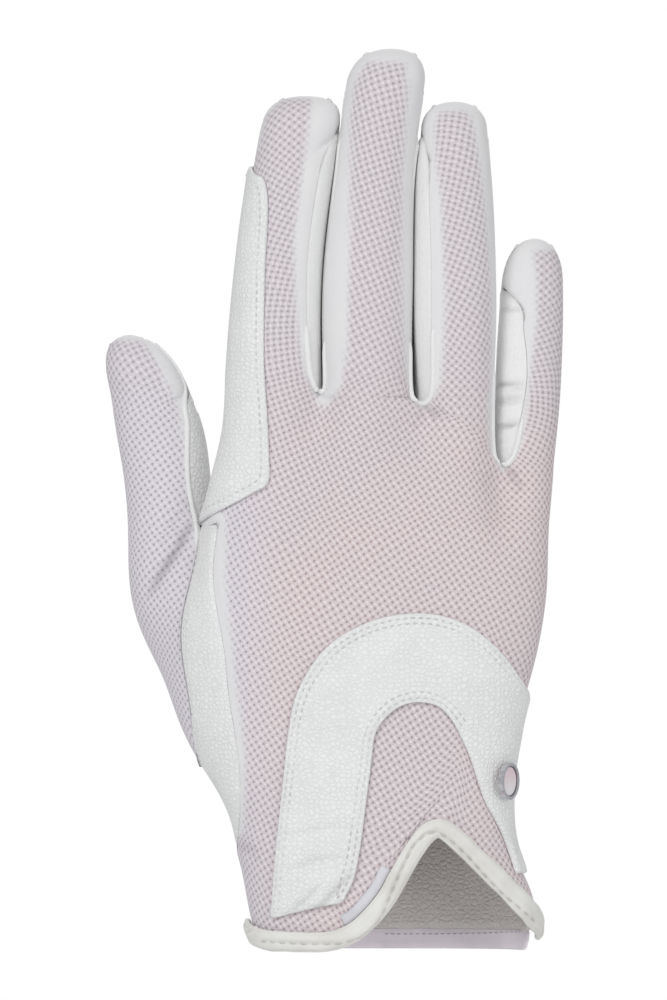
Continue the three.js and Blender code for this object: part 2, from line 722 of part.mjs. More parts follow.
// Closed wall over a patch of quads: its faces lie at two distances along the normals, and its borders are
// drawn in by half a seam gap
const sharpest_corner = 0.03;
function wallOf(patch, points, normals, outside, inside, inset) {
  const edges = new Map();
  const nextOf = (ring, i) => ring[(i + 1) % ring.length];
  patch.forEach((ring) => ring.forEach((a, i) => edges.set(a + " " + nextOf(ring, i), [a, ring, i])));
  const border = [...edges.values()].filter(([a, ring, i]) => !edges.has(nextOf(ring, i) + " " + a));
  const inward = new Map();
  border.forEach(([a, ring, i]) => {
    const b = nextOf(ring, i);
    const face = faceNormal(ring.map((index) => points[index]));
    const side = face.cross(points[b].clone().sub(points[a])).normalize();
    [a, b].forEach((index) => inward.set(index, [...(inward.get(index) ?? []), side]));
  });
  const used = [...new Set(patch.flat())];
  const at = new Map(used.map((index, i) => [index, i]));
  const drawn = used.map((index) => {
    const point = points[index].clone();
    const sides = inward.get(index);
    if (!sides || sides.length < 2) return point;
    const open = Math.max(sharpest_corner, 1 + sides[0].dot(sides[1]));
    return point.addScaledVector(sides[0].clone().add(sides[1]), inset / open);
  });
  const layer = (distance) => used.map((index, i) => {
    return drawn[i].clone().addScaledVector(normals[index], distance);
  });
  const vertices = [...layer(outside), ...layer(inside)];
  const under = used.length;
  const triangles = [];
  patch.forEach((ring) => {
    const corners = ring.map((index) => at.get(index));
    for (let i = 1; i + 1 < corners.length; i += 1) {
      triangles.push(corners[0], corners[i], corners[i + 1]);
      triangles.push(corners[0] + under, corners[i + 1] + under, corners[i] + under);
    }
  });
  border.forEach(([from, ring, i]) => {
    const a = at.get(from);
    const b = at.get(nextOf(ring, i));
    const rising = from < nextOf(ring, i);
    triangles.push(a, a + under, rising ? b + under : b);
    triangles.push(rising ? a : a + under, b + under, b);
  });
  const geometry = new THREE.BufferGeometry();
  const values = vertices.flatMap((vertex) => vertex.toArray());
  geometry.setAttribute("position", new THREE.Float32BufferAttribute(values, 3));
  geometry.setIndex(triangles);
  geometry.computeVertexNormals();
  return geometry;
}

const mesh_fabric = new THREE.MeshStandardMaterial({ color: 0xded5d9, roughness: 0.85, metalness: 0 });
const grained_leather = new THREE.MeshStandardMaterial({ color: 0xe8e8e8, roughness: 0.5, metalness: 0 });
const smooth_leather = new THREE.MeshStandardMaterial({ color: 0xececec, roughness: 0.55, metalness: 0 });
const binding_cloth = new THREE.MeshStandardMaterial({ color: 0xf0f0eb, roughness: 0.7, metalness: 0 });
const hem_cloth = new THREE.MeshStandardMaterial({ color: 0xd6d0da, roughness: 0.75, metalness: 0 });
const badge_metal = new THREE.MeshStandardMaterial({ color: 0xb9b9bc, roughness: 0.25, metalness: 1 });
const badge_field = new THREE.MeshStandardMaterial({ color: 0xefdfe2, roughness: 0.3, metalness: 0 });

const glove = new THREE.Group();
function add(name, geometry, material, parent = glove) {
  const mesh = new THREE.Mesh(geometry, material);
  mesh.name = name;
  parent.add(mesh);
  return mesh;
}

// Sewn panels of the glove
const panels = [
  { name: "back_panel", wall: cloth_wall, material: mesh_fabric },
  { name: "palm_panel", wall: leather_wall, material: grained_leather },
  { name: "fourchette_index_middle", wall: fourchette_wall, material: smooth_leather },
  { name: "fourchette_middle_ring", wall: fourchette_wall, material: smooth_leather },
  { name: "fourchette_ring_little", wall: fourchette_wall, material: smooth_leather },
  { name: "thumb_back", wall: cloth_wall, material: mesh_fabric },
  { name: "thumb_palm", wall: leather_wall, material: grained_leather },
  { name: "thumb_base_wrap", wall: leather_wall, material: grained_leather },
  { name: "palm_hem", wall: cloth_wall, material: hem_cloth },
];
const surface_points = nodes.map((node) => node.point);
const surface_normals = nodes.map((node) => node.normal);
panels.forEach(({ name, wall, material }) => {
  const patch = quads.filter((quad) => quad.piece === name).map((quad) => quad.ring);
  add(name, wallOf(patch, surface_points, surface_normals, 0, -wall, seam_gap / 2), material);
});

// Lines down the surface through its grid: those round the index finger and its side of the hand, and
// those round the wrist, each from the palm past the thumb side over the back
const columnOf = (grid, c) => grid.map((row) => row[c]);
const joinedLine = (upper, lower) => [...upper, ...lower.slice(1)];
const index_count = zoneCells("index", "back");
const near_palm = [3, 2, 1];
const finger_back = fingerGrid("index", "back");
const finger_palm = fingerGrid("index", "palm");
const finger_side = fingerGrid("index", "left_side");
const hand_back = knuckleGrid(back_columns);
const hand_palm = knuckleGrid(palm_columns);
const hand_side = knuckleSideGrid();
const index_lines = [
  ...near_palm.map((k) => joinedLine(columnOf(finger_palm, k), columnOf(hand_palm, k))),
  ...[2, 1].map((k) => joinedLine(columnOf(finger_side, k), columnOf(hand_side, k))),
  ...range(index_count).map((_, k) => joinedLine(columnOf(finger_back, k), columnOf(hand_back, k))),
];
const wrist_back = wristGrid(back_columns);
const wrist_palm = wristGrid(palm_columns);
const footed = (line, column) => [...line, palmPoint(column, 0), palmPoint(column, -hem_height)];
const palm_last = palm_columns.length - 1;
const wrist_lines = [
  ...near_palm.map((k) => footed(columnOf(wrist_palm, k), palm_columns[k])),
  ...back_columns.map((column, c) => footed(columnOf(wrist_back, c), column)),
  ...[1, 2, 3].map((k) => footed(columnOf(wrist_palm, palm_last - k), palm_columns[palm_last - k])),
];

// Round the glove at a level
function girthAt(lines, z) {
  return lines.map((line) => {
    const next = line.findIndex((point, i) => i > 0 && point.z <= z);
    const i = next < 0 ? line.length - 1 : next;
    const share = (line[i - 1].z - z) / (line[i - 1].z - line[i].z);
    return line[i - 1].clone().lerp(line[i], share);
  });
}

// A place on the girth is a number of columns and a share of the next: its point, the place at a distance
// from it, and the place on the front at x. Past either side the rest of x runs on round the girth.
function pointOn(line, place) {
  const i = THREE.MathUtils.clamp(Math.floor(place), 0, line.length - 2);
  return line[i].clone().lerp(line[i + 1], place - i);
}
function placeFrom(line, place, distance) {
  const step = Math.sign(distance);
  let left = Math.abs(distance);
  let from = place;
  while (left > 0) {
    const next = step > 0 ? Math.floor(from) + 1 : Math.ceil(from) - 1;
    if (next < 0 || next > line.length - 1) return from;
    const length = pointOn(line, from).distanceTo(line[next]);
    if (length >= left) return from + (next - from) * (left / length);
    left -= length;
    from = next;
  }
  return from;
}
function placeAt(line, x) {
  const xs = line.map((point) => point.x);
  const rightmost = xs.indexOf(Math.max(...xs));
  const leftmost = xs.indexOf(Math.min(...xs));
  if (x >= xs[rightmost]) return placeFrom(line, rightmost, x - xs[rightmost]);
  if (x <= xs[leftmost]) return placeFrom(line, leftmost, x - xs[leftmost]);
  const i = xs.findIndex((_, n) => n >= leftmost && xs[n + 1] > x);
  return i + (x - xs[i]) / (xs[i + 1] - xs[i]);
}
function wristSurface(x, z) {
  const line = girthAt(wrist_lines, z);
  return pointOn(line, placeAt(line, x));
}

// Raised piece over a grid of places on the surface
function overlay(name, grid, lift, wall, material) {
  const wide = grid[0].length;
  const points = grid.flat();
  const normals = points.map((point, n) => {
    const row = Math.floor(n / wide);
    const column = n % wide;
    const across = grid[row][Math.min(wide - 1, column + 1)].clone().sub(grid[row][Math.max(0, column - 1)]);
    const up = grid[Math.min(grid.length - 1, row + 1)][column].clone();
    return across.cross(up.sub(grid[Math.max(0, row - 1)][column])).normalize();
  });
  const patch = [];
  for (let r = 0; r + 1 < grid.length; r += 1) {
    for (let c = 0; c + 1 < wide; c += 1) {
      const corner = r * wide + c;
      patch.push([corner, corner + 1, corner + wide + 1, corner + wide]);
    }
  }
  add(name, wallOf(patch, points, normals, lift + wall, lift, 0), material);
}

// Side panel, from its edge on the back round to the palm
const side_panel_height = side_panel_top - side_panel_bottom;
const side_panel_grid = range(16).map((up) => range(8).map((round) => {
  const bottom = side_panel_bottom + side_panel_slope * (1 - round) ** side_panel_roundness;
  const top = side_panel_top - side_panel_crown * (1 - round) ** 2;
  const z = mix(bottom, top, up);
  const line = girthAt(index_lines, z);
  const level = (z - side_panel_bottom) / side_panel_height;
  const edge = along(side_panel_line, "edge", level, "level") * palm_width;
  const girth = along(side_panel_line, "girth", level, "level") * side_panel_girth;
  return pointOn(line, placeFrom(line, placeAt(line, edge), -round * girth));
}).reverse());
overlay("index_side_panel", side_panel_grid, lap_gap, overlay_wall, grained_leather);

// Closure flap: an arch over the vent, from the foot of its left leg to the round end of its right leg
const flap_last = flap_line.length - 1;
const flap_rows = flap_line.map((row, i) => ({ ...row, at: i / flap_last }));
const flap_grid = range(44).map((at) => {
  const read = (key) => along(flap_rows, key, at, "at");
  const placeOf = (edge, z) => placeAt(girthAt(wrist_lines, z), flap_centre + read(edge) * flap_width);
  const outer_z = read("outer_level") * flap_height;
  const inner_z = read("inner_level") * flap_height;
  const outer = placeOf("outer", outer_z);
  const inner = placeOf("inner", inner_z);
  return range(6).map((share) => {
    const line = girthAt(wrist_lines, mix(outer_z, inner_z, share));
    return pointOn(line, mix(outer, inner, share));
  });
});
overlay("closure_flap", flap_grid, lap_gap, overlay_wall, grained_leather);

// Bound edge of the back, and the smooth facing beside the vent's left limb
const fine_steps = 8;
const look_ahead = 0.01;
function bandGrid(from, to, steps, near, far) {
  const fine = range(fine_steps * steps).map((share) => {
    const at = mix(from, to, share);
    const place = bindingPoint(at);
    return { at, point: wristSurface(place.x, place.y), run: 0 };
  });
  for (let i = 1; i < fine.length; i += 1) {
    fine[i].run = fine[i - 1].run + fine[i].point.distanceTo(fine[i - 1].point);
  }
  const length = fine[fine.length - 1].run;
  return range(steps).map((share) => {
    const at = (fine.find((place) => place.run >= share * length) ?? fine[fine.length - 1]).at;
    const before = bindingPoint(Math.max(0, at - look_ahead));
    const ahead = bindingPoint(Math.min(1, at + look_ahead)).sub(before).normalize();
    const side = new THREE.Vector2(-ahead.y, ahead.x);
    return range(2).map((across) => {
      const place = bindingPoint(at).addScaledVector(side, mix(far, near, across));
      return wristSurface(place.x, Math.max(0, place.y));
    });
  });
}
const binding_half = binding_width / 2;
const binding_grid = bandGrid(0, 1, 48, -binding_half, binding_half);
overlay("wrist_binding", binding_grid, binding_gap, binding_wall, binding_cloth);
const facing_start = 0.29;
const facing_end = 0.47;
const facing_near = binding_half + seam_gap;
const facing_grid = bandGrid(facing_start, facing_end, 8, facing_near, facing_near + facing_width);
overlay("vent_facing", facing_grid, lap_gap, facing_wall, hem_cloth);

// Button badge on the right leg of the flap
const badge_place = wristSurface(badge_across, badge_level);
const badge_side = wristSurface(badge_across + badge_radius, badge_level);
badge_side.sub(wristSurface(badge_across - badge_radius, badge_level));
const badge_up = wristSurface(badge_across, badge_level + badge_radius);
badge_up.sub(wristSurface(badge_across, badge_level - badge_radius));
const badge_normal = badge_side.cross(badge_up).normalize();
const badge_rises = range(badge_sides).map((share) => {
  const turn = 2 * Math.PI * share;
  const across = badge_across + badge_radius * Math.cos(turn);
  const point = wristSurface(across, badge_level + badge_radius * Math.sin(turn));
  return point.sub(badge_place).dot(badge_normal);
});
const badge_lift = Math.max(0, ...badge_rises) + 2 * lap_gap + overlay_wall;
const badge = new THREE.Group();
badge.position.copy(badge_place).addScaledVector(badge_normal, badge_lift);
badge.quaternion.setFromUnitVectors(new THREE.Vector3(0, 1, 0), badge_normal);
glove.add(badge);
const rim_inside = badge_radius - badge_rim;
const rim_profile = [
  [rim_inside, 0],
  [badge_radius, 0],
  [badge_radius, badge_height],
  [rim_inside, badge_height],
  [rim_inside, 0],
];
const rim = new THREE.LatheGeometry(rim_profile.map(([x, y]) => new THREE.Vector2(x, y)), badge_sides);
add("badge_ring", rim, badge_metal, badge);
const disc_radius = rim_inside - seam_gap;
const disc_height = badge_height - badge_rim / 2;
const disc = new THREE.CylinderGeometry(disc_radius, disc_radius, disc_height, badge_sides);
add("badge_disc", disc, badge_field, badge).position.y = disc_height / 2;

export default glove;
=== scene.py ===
import math

import bpy
import numpy as np
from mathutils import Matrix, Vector, kdtree
from mathutils.bvhtree import BVHTree


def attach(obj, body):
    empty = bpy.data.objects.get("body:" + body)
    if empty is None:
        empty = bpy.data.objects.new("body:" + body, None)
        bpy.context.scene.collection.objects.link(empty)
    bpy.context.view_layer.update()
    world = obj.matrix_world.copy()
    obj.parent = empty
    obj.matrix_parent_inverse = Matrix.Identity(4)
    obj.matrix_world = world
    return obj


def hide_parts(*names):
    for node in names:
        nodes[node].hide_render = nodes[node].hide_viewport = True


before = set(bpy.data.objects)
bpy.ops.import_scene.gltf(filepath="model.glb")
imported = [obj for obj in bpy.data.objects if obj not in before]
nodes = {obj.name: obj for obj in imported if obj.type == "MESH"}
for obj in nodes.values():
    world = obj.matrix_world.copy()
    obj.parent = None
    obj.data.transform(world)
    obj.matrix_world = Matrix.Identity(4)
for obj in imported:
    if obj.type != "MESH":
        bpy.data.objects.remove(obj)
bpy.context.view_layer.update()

MM = 0.001

# The photograph's frame: metres for one of its pixels, the pixel of the part's origin, and its size
PIXEL = 0.255 * MM
ORIGIN_COLUMN = 395
ORIGIN_ROW = 951
PHOTO_WIDTH = 667
PHOTO_HEIGHT = 1000

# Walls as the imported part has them
CLOTH_WALL = 1.1 * MM
LEATHER_WALL = 1.3 * MM
FOURCHETTE_WALL = 1.1 * MM
OVERLAY_WALL = 1.2 * MM
BINDING_WALL = 1.8 * MM
FACING_WALL = 0.6 * MM
SEAM_GAP = 0.34 * MM

# Which way the outer faces look
BACK = (0, -1, 0)
PALM = (0, 1, 0)
TOP = (0, 0, 1)
THUMB_SIDE = (-1, 0, 0)

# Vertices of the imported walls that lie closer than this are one, and walls are true to it
WALL_SLACK = 0.002 * MM

# How far sewn rims move out: half the gap and a little, and the hem, which laps over the palm's edge, further
SEAM_REACH = SEAM_GAP / 2 + 0.03 * MM
HEM_REACH = 0.5 * MM

# A rim that turns more sharply than this share of straight stays where it is when it is sewn
STRAIGHT_RIM = 0.97

# Subdivision, the rounds that draw its cage out, and how firm a sewn and a cut rim stay
LEVELS = 2
BINDING_LEVELS = 3
CAGE_ROUNDS = 2
SEWN_CREASE = 1.0
CUT_CREASE = 0.8
FACING_CREASE = 0.5

# Faces this far from a rim are evened out, more so between two rows of the photograph, below the finger forks
EASE_CLEAR = 1.0 * MM
EASE_ROUNDS = 3
FORK_ROUNDS = 14
FORK_ROWS = (412, 380)
RIM_ROUNDS = 4

# Rolled edges of the panels
EDGE_DEPTH = 0.35 * MM
EDGE_WIDTH = 1.6 * MM


def across(column):
    """X of a pixel column."""
    return (column - ORIGIN_COLUMN) * PIXEL


def up(row):
    """Z of a pixel row."""
    return (ORIGIN_ROW - row) * PIXEL


# Steps, points and masks

def smooth(low, high, value):
    """Smooth step from 0 at low to 1 at high."""
    t = np.clip((value - low) / (high - low), 0, 1)
    return t * t * (3 - 2 * t)


def points_of(mesh):
    values = np.empty(len(mesh.vertices) * 3)
    mesh.vertices.foreach_get("co", values)
    return values.reshape(-1, 3)


def normals_of(mesh):
    values = np.empty(len(mesh.vertices) * 3)
    mesh.vertices.foreach_get("normal", values)
    return values.reshape(-1, 3)


def put_points(mesh, points):
    mesh.vertices.foreach_set("co", np.ascontiguousarray(points).ravel())
    mesh.update()


def put_mask(mesh, name, values):
    """A number for each vertex, which a material reads by name."""
    layer = mesh.attributes.get(name) or mesh.attributes.new(name, "FLOAT", "POINT")
    layer.data.foreach_set("value", np.asarray(values, np.float32))


def mask_of(mesh, name):
    values = np.empty(len(mesh.vertices), np.float32)
    mesh.attributes[name].data.foreach_get("value", values)
    return values


def only(piece):
    """Selects one object alone."""
    bpy.ops.object.select_all(action="DESELECT")
    piece.select_set(True)
    bpy.context.view_layer.objects.active = piece


# Walls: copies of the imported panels, as quads with firm rims

def copy_wall(name, node):
    """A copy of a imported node, welded, in quads and smooth."""
    source = nodes[node].data.copy()
    source.materials.clear()
    piece = bpy.data.objects.new(name, source)
    bpy.context.scene.collection.objects.link(piece)
    only(piece)
    bpy.ops.object.mode_set(mode="EDIT")
    bpy.ops.mesh.select_all(action="SELECT")
    bpy.ops.mesh.remove_doubles(threshold=WALL_SLACK)
    bpy.ops.mesh.tris_convert_to_quads(face_threshold=math.radians(60), shape_threshold=math.radians(180))
    bpy.ops.mesh.customdata_custom_splitnormals_clear()
    bpy.ops.object.mode_set(mode="OBJECT")
    bpy.ops.object.shade_smooth()
    return piece


def mark_rims(piece, wall, outside, crease):
    """Finds the narrow faces across the wall, creases both rims, and marks the outer face's vertices."""
    mesh = piece.data
    points = points_of(mesh)
    through = set()
    for edge in mesh.edges:
        a, b = edge.vertices
        if abs(np.linalg.norm(points[a] - points[b]) - wall) < WALL_SLACK:
            through.add(tuple(sorted((a, b))))
    strip = set()
    for face in mesh.polygons:
        needed = 2 if len(face.vertices) > 3 else 1
        if sum(tuple(sorted(key)) in through for key in face.edge_keys) >= needed:
            strip.add(face.index)
    faces_at = {}
    for face in mesh.polygons:
        for key in face.edge_keys:
            faces_at.setdefault(key, []).append(face.index)
    rim = set()
    for key, faces in faces_at.items():
        on_strip = [f in strip for f in faces]
        if any(on_strip) and not all(on_strip):
            rim.add(key)
    creases = mesh.attributes.new("crease_edge", "FLOAT", "EDGE")
    for edge in mesh.edges:
        if tuple(edge.vertices) in rim or tuple(reversed(edge.vertices)) in rim:
            edge.use_seam = True
            creases.data[edge.index].value = crease
    outer = np.zeros(len(mesh.vertices))
    seen = set(strip)
    for first in range(len(mesh.polygons)):
        if first in seen:
            continue
        group = [first]
        seen.add(first)
        for at in group:
            for key in mesh.polygons[at].edge_keys:
                for other in faces_at[key]:
                    if other not in seen and key not in rim:
                        seen.add(other)
                        group.append(other)
        normal = sum((mesh.polygons[f].normal * mesh.polygons[f].area for f in group), Vector())
        if normal.dot(Vector(outside)) > 0:
            for f in group:
                outer[list(mesh.polygons[f].vertices)] = 1
    put_mask(mesh, "outer", outer)
    edge_of = np.zeros(len(mesh.vertices))
    for key in rim:
        edge_of[list(key)] = 1
    put_mask(mesh, "rim", edge_of)


def sew(piece, reach):
    """Moves the rims out along the surface, so that sewn neighbours meet without a gap."""
    mesh = piece.data
    points = points_of(mesh)
    rim = mask_of(mesh, "rim") > 0.5
    seam = {tuple(sorted(e.vertices)) for e in mesh.edges if e.use_seam}
    push = np.zeros_like(points)
    count = np.zeros(len(points))
    for face in mesh.polygons:
        keys = [tuple(sorted(k)) for k in face.edge_keys]
        on_rim = [k for k in keys if k in seam]
        if len(on_rim) != 1 or all(rim[v] for v in face.vertices):
            continue
        a, b = on_rim[0]
        centre = np.array(face.center)
        along = points[b] - points[a]
        middle = (points[a] + points[b]) / 2
        away = middle - centre
        away -= along * (away @ along) / (along @ along)
        away /= np.linalg.norm(away)
        push[a] += away
        push[b] += away
        count[a] += 1
        count[b] += 1
    used = count > 0
    push[used] /= count[used][:, None]
    push[np.linalg.norm(push, axis=1) < STRAIGHT_RIM] = 0
    put_points(mesh, points + push * reach)


def round_off(piece, levels):
    """Subdivides the piece, with its cage drawn out first so that the smooth surface keeps its size."""
    mesh = piece.data
    rest = points_of(mesh)
    only(piece)
    bpy.ops.object.modifier_add(type="SUBSURF")
    smoother = piece.modifiers[-1]
    smoother.levels = levels
    smoother.render_levels = levels
    cage = rest.copy()
    for _ in range(CAGE_ROUNDS):
        depsgraph = bpy.context.evaluated_depsgraph_get()
        smooth_mesh = piece.evaluated_get(depsgraph).to_mesh()
        reached = points_of(smooth_mesh)[: len(rest)]
        piece.evaluated_get(depsgraph).to_mesh_clear()
        cage += rest - reached
        put_points(mesh, cage)
        bpy.context.view_layer.update()
    bpy.ops.object.modifier_apply(modifier=smoother.name)
    bpy.ops.object.shade_smooth()


def even_rims(piece, rounds):
    """Rounds the rims off along their length."""
    mesh = piece.data
    points = points_of(mesh)
    ends = np.array([edge.vertices[:] for edge in mesh.edges if edge.use_seam])
    count = np.zeros(len(points))
    np.add.at(count, ends.ravel(), 1)
    between = count == 2
    for _ in range(rounds):
        total = np.zeros_like(points)
        np.add.at(total, ends[:, 0], points[ends[:, 1]])
        np.add.at(total, ends[:, 1], points[ends[:, 0]])
        points[between] = (points[between] + total[between] / 2) / 2
    put_points(mesh, points)


def ease(piece, clear, rounds, low=-1.0, high=1.0):
    """Evens out the faces that lie clear of the rims, between two levels."""
    distance = edge_distance(piece)
    mesh = piece.data
    level = points_of(mesh)[:, 2]
    chosen = (distance > clear) & (mask_of(mesh, "rim") < 0.01) & (level > low) & (level < high)
    only(piece)
    bpy.ops.object.mode_set(mode="EDIT")
    bpy.ops.mesh.select_mode(type="VERT")
    bpy.ops.mesh.select_all(action="DESELECT")
    bpy.ops.object.mode_set(mode="OBJECT")
    mesh.vertices.foreach_set("select", chosen)
    bpy.ops.object.mode_set(mode="EDIT")
    bpy.ops.mesh.vertices_smooth(factor=0.5, repeat=rounds)
    bpy.ops.object.mode_set(mode="OBJECT")


def beside_line(front, places):
    """Distance of points to a line through places in pixels, and their share of its length."""
    line = np.array([(across(x), up(y)) for x, y in places])
    lengths = np.linalg.norm(np.diff(line, axis=0), axis=1)
    starts = np.concatenate([[0], np.cumsum(lengths)])
    nearest = np.full(len(front), np.inf)
    share = np.zeros(len(front))
    for i, length in enumerate(lengths):
        run = line[i + 1] - line[i]
        t = np.clip((front - line[i]) @ run / (run @ run), 0, 1)
        side = np.linalg.norm(front - line[i] - t[:, None] * run, axis=1)
        closer = side < nearest
        nearest[closer] = side[closer]
        share[closer] = ((starts[i] + t * length) / starts[-1])[closer]
    return nearest, share


# A crease's raised shoulders as a share of its depth, and how far from a rim it starts and is full
SHOULDER = 0.35
RIM_FLAT = 0.4 * MM
RIM_FULL = 2.2 * MM


def press(piece, creases):
    """Presses creases into the outer face, along lines in pixels, with a width and depth in mm, and keeps a
    mask of painted shade along them for the finishes to darken their colour by.
    """
    mesh = piece.data
    points = points_of(mesh)
    normals = normals_of(mesh)
    sink = np.zeros(len(points))
    crease_shade = np.zeros(len(points))
    outer = mask_of(mesh, "outer")
    for row in creases:
        width = row["width"] * MM
        side, share = beside_line(points[:, [0, 2]], row["line"])
        fade = np.sin(share * math.pi) ** 0.5
        trough = np.exp(-((side / width) ** 2))
        shoulder = np.exp(-(((side - 2 * width) / width) ** 2))
        sink += row["depth"] * MM * fade * (trough - SHOULDER * shoulder)
        crease_shade = np.maximum(crease_shade, row["shade"] * fade * np.exp(-((1.5 * side / width) ** 2)))
    put_mask(mesh, "crease_shade", crease_shade * outer)
    sink *= outer * smooth(RIM_FLAT, RIM_FULL, mask_of(mesh, "edge"))
    put_points(mesh, points - normals * sink[:, None])


def rim_tree(piece):
    """Finds the nearest rim of the outer face."""
    points = points_of(piece.data)
    chosen = np.nonzero((mask_of(piece.data, "rim") > 0.99) & (mask_of(piece.data, "outer") > 0.99))[0]
    tree = kdtree.KDTree(len(chosen))
    for index in chosen:
        tree.insert(points[index], int(index))
    tree.balance()
    return tree


def edge_distance(piece):
    """Distance of each vertex from the rim of the outer face."""
    tree = rim_tree(piece)
    return np.array([tree.find(point)[2] for point in points_of(piece.data)])


def soften_edges(piece, depth, width):
    """Rolls the outer face down towards its rims, as sewn and cut edges do."""
    distance = edge_distance(piece)
    put_mask(piece.data, "edge", distance)
    fall = np.clip(1 - distance / width, 0, 1) ** 2 * depth
    fall *= mask_of(piece.data, "outer")
    put_points(piece.data, points_of(piece.data) - normals_of(piece.data) * fall[:, None])


# Rounds and margin of the unwrap, and the shortest step on the map, in mm, that counts in its scale
UNWRAP_ROUNDS = 40
UNWRAP_MARGIN = 0.01
SHORTEST_STEP = 0.1


def lay_flat(piece, low, high):
    """Unwraps the faces, with one unit of the map a millimetre and upright along Z between two levels."""
    only(piece)
    bpy.ops.object.mode_set(mode="EDIT")
    bpy.ops.mesh.select_all(action="SELECT")
    bpy.ops.uv.unwrap(method="MINIMUM_STRETCH", iterations=UNWRAP_ROUNDS, margin=UNWRAP_MARGIN)
    bpy.ops.object.mode_set(mode="OBJECT")
    mesh = piece.data
    uv_layer = mesh.uv_layers.active
    loops = np.empty(len(mesh.loops), np.int32)
    mesh.loops.foreach_get("vertex_index", loops)
    uv = np.empty(len(mesh.loops) * 2)
    uv_layer.data.foreach_get("uv", uv)
    flat = uv.reshape(-1, 2) @ np.array([1, 1j])
    points = points_of(mesh)[loops]
    world = points[:, 0] + 1j * points[:, 2]
    outer = mask_of(mesh, "outer")[loops] > 0.5
    for face_mask in (outer, ~outer):
        fit = face_mask & (points[:, 2] > low) & (points[:, 2] < high)
        results = []
        for side in (world, np.conj(world)):
            table = np.stack([side[fit], np.ones(fit.sum())], 1)
            answer, left, _, _ = np.linalg.lstsq(table, flat[fit], rcond=None)
            results.append((float(np.abs(table @ answer - flat[fit]).sum()), answer))
        mirrored = results[1][0] < results[0][0]
        turn, shift = results[mirrored][1]
        placed = (flat[face_mask] - shift) / turn
        flat[face_mask] = (np.conj(placed) if mirrored else placed) / MM
        steps = np.nonzero(fit[:-1] & fit[1:])[0]
        laid = np.abs(flat[steps + 1] - flat[steps])
        real = np.linalg.norm(points[steps + 1] - points[steps], axis=1) / MM
        clear = laid > SHORTEST_STEP
        flat[face_mask] *= np.median(real[clear] / laid[clear])
    uv_layer.data.foreach_set("uv", np.stack([flat.real, flat.imag], 1).ravel())


# Finishes: small helpers for node trees

class Nodes:
    """A node tree with short names for the nodes that the finishes use."""

    def __init__(self, tree):
        self.tree = tree

    def new(self, kind, **settings):
        node = self.tree.nodes.new("ShaderNode" + kind)
        for key, value in settings.items():
            setattr(node, key, value)
        return node

    def link(self, source, target):
        if isinstance(source, (int, float, tuple)):
            target.default_value = source
        else:
            self.tree.links.new(source, target)

    def maths(self, operation, *values):
        node = self.new("Math", operation=operation)
        for value, socket in zip(values, node.inputs):
            self.link(value, socket)
        return node.outputs[0]

    def ramp(self, value, low, high, to_low=0.0, to_high=1.0):
        node = self.new("MapRange", interpolation_type="SMOOTHSTEP")
        for given, socket in zip((value, low, high, to_low, to_high), node.inputs):
            self.link(given, socket)
        return node.outputs[0]

    def blend(self, factor, first, second):
        node = self.new("Mix", data_type="RGBA", blend_type="MIX")
        self.link(factor, node.inputs["Factor"])
        self.link(first, node.inputs[6])
        self.link(second, node.inputs[7])
        return node.outputs[2]

    def noise(self, place, scale, detail=2.0, rough=0.5):
        node = self.new("TexNoise")
        for given, socket in ((place, "Vector"), (scale, "Scale"), (detail, "Detail"), (rough, "Roughness")):
            self.link(given, node.inputs[socket])
        return node.outputs["Fac"]

    def value_at(self, name):
        return self.new("Attribute", attribute_name=name).outputs["Fac"]


def group(name, inputs, outputs):
    """An empty shader node group with named sockets."""
    tree = bpy.data.node_groups.new(name, "ShaderNodeTree")
    for label, kind, value in inputs:
        socket = tree.interface.new_socket(label, in_out="INPUT", socket_type="NodeSocket" + kind)
        if value is not None:
            socket.default_value = value
    for label, kind in outputs:
        tree.interface.new_socket(label, in_out="OUTPUT", socket_type="NodeSocket" + kind)
    return tree


def linear(red, green, blue):
    """A colour given as the photograph's 0 to 255 values."""
    parts = [value / 255 for value in (red, green, blue)]
    return tuple(v / 12.92 if v < 0.04045 else ((v + 0.055) / 1.055) ** 2.4 for v in parts) + (1.0,)


